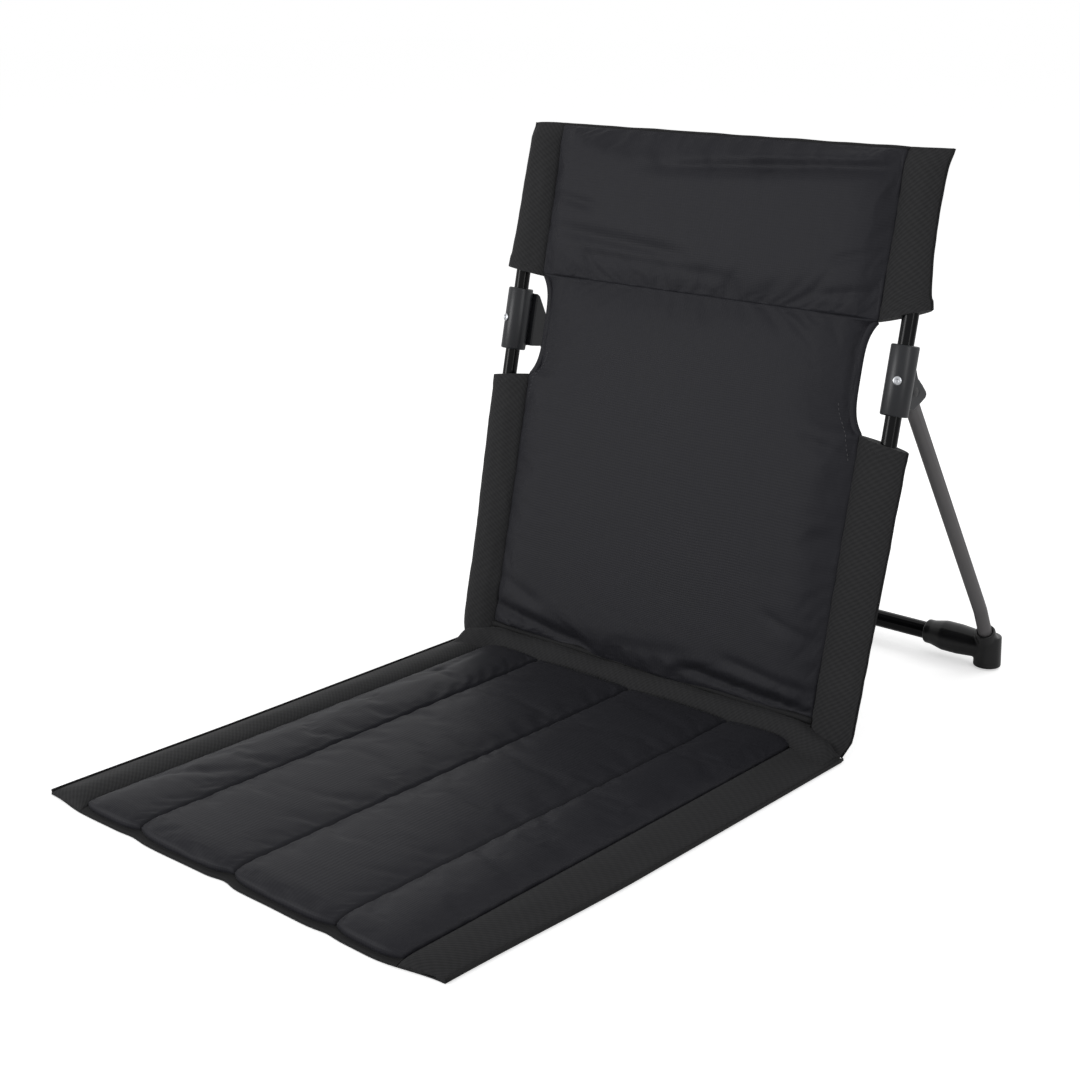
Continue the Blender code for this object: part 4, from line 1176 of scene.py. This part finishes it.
        flat = (2 * math.pi * radius, 2 * half)
        shape = cloth_grid(32, 110, place, flat)
        close_tube(shape)
        piece = add_piece("fold_roll", shape, self.palette.oxford, Slot.OXFORD, Body.BACK, ("base_sleeve",), None,
                          50.0)
        thicken(piece)

    def sew_rear(self, rear: Object) -> None:
        """Sew the rows that show on the rear cloth."""
        plan, shape, surface = self.plan, bmesh.new(), surface_of(rear)
        inwards = plan.matrix.to_3x3() @ FORWARD

        def row(points: Iterable[tuple[float, float]]) -> None:
            Stitching().row(shape, surface, [plan.matrix @ Vector((x, 0.03, s)) for x, s in points], inwards)

        for half, s in ((0.172, plan.headrest_seam - 0.003), (0.172, plan.height - 0.012),
                        (0.168, plan.panel_low + 0.010)):
            row((half * (2 * share - 1), s) for share in shares(20))
        heights = [mix(0.035, 0.345, share) for share in shares(40)]
        for side in Side:
            row((side.value * (plan.half_width(s) - 0.006), s) for s in heights)
        add_piece("rear_stitches", shape, self.palette.thread, Slot.TAPE, Body.BACK)


@dataclass
class SeatMat:
    """The seat mat: quilted top, matt borders, front hem and the cloth on the ground."""

    palette: Palette
    half: float = 0.210
    front: float = -0.36875
    rear: float = 0.0875
    quilt_half: float = 0.168
    quilt_front: float = -0.35375
    quilt_rear: float = 0.0800
    inner_seam: float = 0.105
    crown: float = 0.0128
    seam: float = 0.0102
    rim: float = 0.0068
    rows: int = 96
    channel_columns: int = 26
    settling: Settling = Settling(pressure=1.5, slack=0.004, reach=0.0016)
    # The seams' pulls on the front edge: how deep, and where across.
    pulls: tuple[tuple[float, float], ...] = ((0.0030, -0.004), (0.0015, -0.105), (0.0015, 0.105))
    border_rise: tuple[float, float] = (0.0086, 0.0040)
    hem_rise: tuple[float, float] = (0.0058, 0.0030)
    hem_width: float = 0.016

    @property
    def seams(self) -> tuple[float, ...]:
        """Return the places across of the quilt's seams, with its two edges."""
        return (-self.quilt_half, -self.inner_seam, 0.0, self.inner_seam, self.quilt_half)

    def front_line(self, x: float) -> float:
        """Return where the mat's front edge lies: bowed, with its corners drawn back."""
        left = 0.005 * ease((-x - 0.165) / 0.045)
        right = 0.009 * ease((x - 0.150) / 0.060)
        pulled = sum(depth * hump(x - spot, 0.010) for depth, spot in self.pulls)
        return self.front + left + right + pulled + 0.0012 * drift(x / 0.05, 0, 8.0)

    def side_line(self, side: Side, y: float) -> float:
        """Return how far out the mat's side edge lies: its left front corner spreads, its right one draws in."""
        spread = 0.003 if side is Side.LEFT else -0.006
        return self.half + spread * ease((self.front + 0.20 - y) / 0.20)

    def build(self) -> None:
        """Build the mat's pieces and sew them."""
        self.ground_cloth()
        quilt = self.quilt()
        for side in Side:
            self.band(side)
            self.edge(side)
        self.front_hem()
        self.sew(quilt)

    def quilt_place(self, u: float, v: float) -> Vector:
        """Return a point of the quilted cloth before it settles."""
        column = u * (len(self.seams) - 1)
        channel = min(int(column), len(self.seams) - 2)
        share = crowd(column - channel, 0.75)
        x = mix(self.seams[channel], self.seams[channel + 1], share)
        puff = (4 * share * (1 - share)) ** 0.55
        front = self.front_line(x) + 0.0075 - 0.0042 * dome(2 * min(share, 1 - share) / 0.8)
        y = mix(front, self.quilt_rear, crowd(v, 0.6))
        ends = dome((y - front) / 0.018) * mix(0.4, 1.0, dome((self.quilt_rear - y) / 0.012))
        sides = mix(0.25, 1.0, dome((self.quilt_half - abs(x)) / 0.022))
        top = mix(self.seam, self.crown, puff)
        return Vector((x, y, mix(self.rim, top, ends * sides)))

    def quilt(self) -> Object:
        """Settle the quilted cloth over its foam strips and close it below."""
        channels = len(self.seams) - 1
        columns = channels * self.channel_columns
        flat = (2 * self.quilt_half, self.quilt_rear - self.quilt_front)
        shape = cloth_grid(columns, self.rows, self.quilt_place, flat)
        inner = self.seams[1:-1]
        held = [point.index for point in shape.verts
                if point.is_boundary or min(abs(point.co.x - x) for x in inner) < 0.0001]
        self.settling.run(shape, held)
        refine(shape)
        creases = (Crease((-0.150, -0.02), (-0.156, 0.05), 0.0016, 0.006),
                   Crease((0.02, 0.05), (0.09, 0.035), 0.0012, 0.008),
                   Crease((0.13, 0.0), (0.16, -0.02), 0.0012, 0.006),
                   Crease((-0.16, -0.30), (-0.12, -0.26), 0.0014, 0.006))
        for point in shape.verts:
            if not point.is_boundary:
                x, y = point.co.x, point.co.y
                near = min(abs(x - line) for line in inner)
                stitched = 0.0018 * hump(near, 0.0016)
                ripple = 0.0006 * drift(y / 0.012, x / 0.03, 3.0) * hump(near - 0.006, 0.010)
                point.co.z += ripple - stitched - sum(crease.dip(x, y) for crease in creases)
        close_behind(shape, 2, LAID)
        piece = add_piece("seat_cushion", shape, self.palette.smooth, Slot.SMOOTH, Body.SEAT,
                          ("seat_quilt", "seat_foam_1", "seat_foam_2", "seat_foam_3", "seat_foam_4"))
        return piece

    def ground_cloth(self) -> None:
        """Build the cloth that lies on the ground."""
        def place(u: float, v: float) -> Vector:
            side = Side.RIGHT if u > 0.5 else Side.LEFT
            y = mix(self.front_line(self.half * (2 * u - 1)), self.rear, v)
            return Vector((self.side_line(side, y) * (2 * u - 1), y, CLOTH))

        flat = (2 * self.half, self.rear - self.front)
        piece = add_piece("ground_cloth", cloth_grid(84, 60, place, flat), self.palette.oxford, Slot.OXFORD,
                          Body.SEAT, ("seat_base_cloth",))
        thicken(piece)

    def band(self, side: Side) -> None:
        """Build a matt border down one side, folded over at its outer edge."""
        inner = self.quilt_half + 0.0002
        puffed = 0.0022 if side is Side.LEFT else 0.0006

        def place(u: float, v: float) -> Vector:
            turn = 2 * math.pi * u
            share = (1 - math.cos(turn)) / 2
            y = mix(self.front_line(side.value * mix(inner, self.half, share)), self.rear, v)
            x = mix(inner, self.side_line(side, y), share)
            top = mix(*self.border_rise, share) + puffed * math.sin(math.pi * share)
            top += 0.0008 * drift(y / 0.045, share * 2, 4.0 + side.value) * math.sin(math.pi * share)
            top = mix(LAID + CLOTH, top, dome((y - self.front_line(side.value * x)) / self.hem_width))
            return Vector((side.value * x, y, mix(LAID, top, math.sqrt(max(0.0, math.sin(turn))))))

        flat = (2 * (self.half - inner) + 0.004, self.rear - self.front)
        shape = cloth_grid(32, 110, place, flat)
        close_tube(shape)
        piece = add_piece("seat_border_" + side.label, shape, self.palette.oxford, Slot.OXFORD, Body.SEAT,
                          ("seat_band_" + side.label,), None, 60.0)
        thicken(piece)

    def edge(self, side: Side) -> None:
        """Build the thin near-black strip down the outer side of the mat: painted shade along its folded edge."""
        start = self.front_line(side.value * self.half) + 0.001
        places = [mix(start, self.rear, share) for share in shares(60)]
        path = [Vector((side.value * (self.side_line(side, y) + 0.0004), y, 0.0026)) for y in places]
        # Painted shade: the near-black tape finish stands in for the shade where the border's cloth turns down.
        add_piece("edge_seat_" + side.label, sweep(path, 0.0016, 0.0011, Vector((side.value, 0, 0)), 8),
                  self.palette.tape, Slot.TAPE, Body.SEAT)

    def front_hem(self) -> None:
        """Build the thin hem under the quilt's front ends."""
        inner = self.quilt_half

        def place(u: float, v: float) -> Vector:
            turn, x = 2 * math.pi * u, inner * (2 * v - 1)
            share = (1 - math.cos(turn)) / 2
            y = mix(self.front_line(x) + self.hem_width, self.front_line(x), share)
            high = mix(*self.hem_rise, share) if math.sin(turn) > 0 else LAID
            return Vector((x, y, mix(CLOTH + 0.0006, high, math.sqrt(abs(math.sin(turn))))))

        flat = (0.022, 2 * inner)
        shape = cloth_grid(24, 90, place, flat)
        close_tube(shape)
        piece = add_piece("front_hem", shape, self.palette.tape, Slot.OXFORD, Body.SEAT, ("seat_front_hem",), None,
                          60.0)

    def sew(self, quilt: Object) -> None:
        """Sew the quilt's channel seams."""
        shape, surface, sewing = bmesh.new(), surface_of(quilt), Stitching(0.0030, 0.0016, 0.0007)
        places = [mix(self.quilt_front + 0.006, self.quilt_rear - 0.004, share) for share in shares(60)]
        for x in self.seams[1:-1]:
            sewing.row(shape, surface, [Vector((x, y, 0.05)) for y in places], Vector((0, 0, -1)))
        add_piece("quilt_stitches", shape, self.palette.thread, Slot.TAPE, Body.SEAT)


@dataclass
class FoldStrip:
    """The cloth that runs from the seat up over the roll at the fold."""

    palette: Palette
    half: float = 0.2066
    line: tuple[tuple[float, float], ...] = (
        (0.0745, 0.0065), (0.0785, 0.0095), (0.0806, 0.0140), (0.0832, 0.0182), (0.0868, 0.0212), (0.0905, 0.0226),
        (0.0940, 0.0222), (0.0968, 0.0200), (0.0985, 0.0165))
    # Its ends lie on the seat's borders: where they start and their run, their heights, and the climb to the fold.
    border_from: float = 0.168
    border_run: float = 0.042
    border_rise: tuple[float, float] = (0.0090, 0.0052)
    border_climb: float = 0.0100
    sink_from: float = 0.155
    # The last of each end is pressed down to this height.
    end_from: float = 0.1985
    end_run: float = 0.0080
    end_height: float = 0.0042
    drawn: float = 0.012

    def place(self, u: float, v: float) -> Vector:
        """Return a point of the strip: a soft roll that sinks to the borders at both ends."""
        x = self.half * (2 * u - 1)
        spot = v * (len(self.line) - 1)
        index = min(int(spot), len(self.line) - 2)
        y = mix(self.line[index][0], self.line[index + 1][0], spot - index)
        z = mix(self.line[index][1], self.line[index + 1][1], spot - index)
        z += 0.0012 * drift(x / 0.045 + y / 0.02, y / 0.03, 5.0) * math.sin(math.pi * v)
        z += 0.0007 * drift(x / 0.016, y / 0.03, 1.0) * math.sin(math.pi * v)
        border = mix(*self.border_rise, clamp((abs(x) - self.border_from) / self.border_run))
        border += self.border_climb * ease((y - 0.076) / 0.014)
        z = mix(z, border, ease((abs(x) - self.sink_from) / self.border_run))
        z -= (z - self.end_height) * ease((abs(x) - self.end_from) / self.end_run)
        return Vector((x, y - self.drawn * ease((abs(x) - 0.160) / 0.030) * mix(1.0, 0.6, v), z))

    def build(self) -> None:
        """Build the strip."""
        flat = (2 * self.half, 0.034)
        piece = add_piece("fold_strip", cloth_grid(130, 24, self.place, flat), self.palette.oxford, Slot.OXFORD, None,
                          ("seat_rear_band",))
        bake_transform(piece)
        thicken(piece, 1)


@dataclass
class Studio:
    """A pale floor, soft light and the camera at the photograph's angle."""

    def build(self) -> None:
        """Build the floor, the light and the camera."""
        self.floor()
        self.sky()
        self.lamp("key", (-1.90, -2.90, 1.00), (1.5, 1.5), 54.0)
        self.lamp("fill", (1.90, -0.50, 1.00), (0.35, 1.6), 9.0)
        self.lamp("rim", (0.60, 1.70, 1.60), (1.2, 1.2), 10.0)
        lens = bpy.data.cameras.new("camera")
        lens.lens, lens.sensor_width = 60.26, 36.0
        camera = put("camera", lens)
        camera.location = (0.9049, -1.0650, 0.6021)
        camera.rotation_euler = (math.radians(72.56), 0.0, math.radians(41.41))
        bpy.context.scene.camera = camera
        bpy.context.scene.view_settings.view_transform = "Standard"

    def floor(self) -> None:
        """Build the floor, which is white to the camera and keeps the chair's shadow."""
        shape = bmesh.new()
        bmesh.ops.create_grid(shape, x_segments=1, y_segments=1, size=12.0,
                              matrix=Matrix.Translation((0, 0, -0.0006)))
        mesh = bpy.data.meshes.new("floor")
        shape.to_mesh(mesh)
        shape.free()
        made = bpy.data.materials.new("pale_floor")
        made.use_nodes = True
        tree = made.node_tree
        tree.nodes.clear()
        seen = add_node(tree, "ShaderNodeLightPath", {}).outputs["Is Camera Ray"]
        glow = add_node(tree, "ShaderNodeMath", {0: seen, 1: 0.50}, operation="MULTIPLY")
        matt = add_node(tree, "ShaderNodeBsdfDiffuse", {"Color": linear("#f4f4f4")})
        lit = add_node(tree, "ShaderNodeEmission", {"Strength": glow.outputs[0]})
        both = add_node(tree, "ShaderNodeAddShader", {0: matt.outputs[0], 1: lit.outputs[0]})
        add_node(tree, "ShaderNodeOutputMaterial", {"Surface": both.outputs[0]})
        mesh.materials.append(made)
        floor = put("floor", mesh)

    def sky(self) -> None:
        """Build the world: white where it is seen or mirrored, and a soft level for light."""
        world = bpy.data.worlds.new("studio")
        bpy.context.scene.world = world
        world.use_nodes = True
        tree = world.node_tree
        tree.nodes.clear()
        path = add_node(tree, "ShaderNodeLightPath", {}).outputs
        seen = add_node(tree, "ShaderNodeMath", {0: path["Is Camera Ray"], 1: path["Is Glossy Ray"]},
                        operation="MAXIMUM")
        clear = add_node(tree, "ShaderNodeMath", {0: seen.outputs[0], 1: path["Is Transmission Ray"]},
                         operation="MAXIMUM")
        level = add_node(tree, "ShaderNodeMapRange", {"Value": clear.outputs[0], "To Min": 0.55, "To Max": 1.0})
        back = add_node(tree, "ShaderNodeBackground", {"Color": (1, 1, 1, 1), "Strength": level.outputs[0]})
        add_node(tree, "ShaderNodeOutputWorld", {"Surface": back.outputs[0]})

    def lamp(self, name: str, place: tuple[float, float, float], size: tuple[float, float], power: float) -> None:
        """Hang a soft lamp, wide and tall as its size says, that points at the chair."""
        light = bpy.data.lights.new(name, "AREA")
        light.shape, light.energy = "RECTANGLE", power
        light.size, light.size_y = size
        lamp = put(name, light)
        lamp.location = place
        lamp.rotation_euler = (Vector((0, -0.05, 0.15)) - Vector(place)).to_track_quat("-Z", "Y").to_euler()


def main() -> None:
    """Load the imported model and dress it."""
    logging.basicConfig(level=logging.INFO, format="%(name)s %(message)s")
    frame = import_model()
    palette, plan = Palette(), BackPlan()
    Studio().build()
    back_frame = BackFrame(frame["nodes"], palette, plan)
    back_frame.build()
    RearLeg(frame["nodes"], palette).build()
    BackCover(plan, palette, back_frame.tubes).build()
    SeatMat(palette).build()
    FoldStrip(palette).build()


if __name__ == "__main__":
    main()
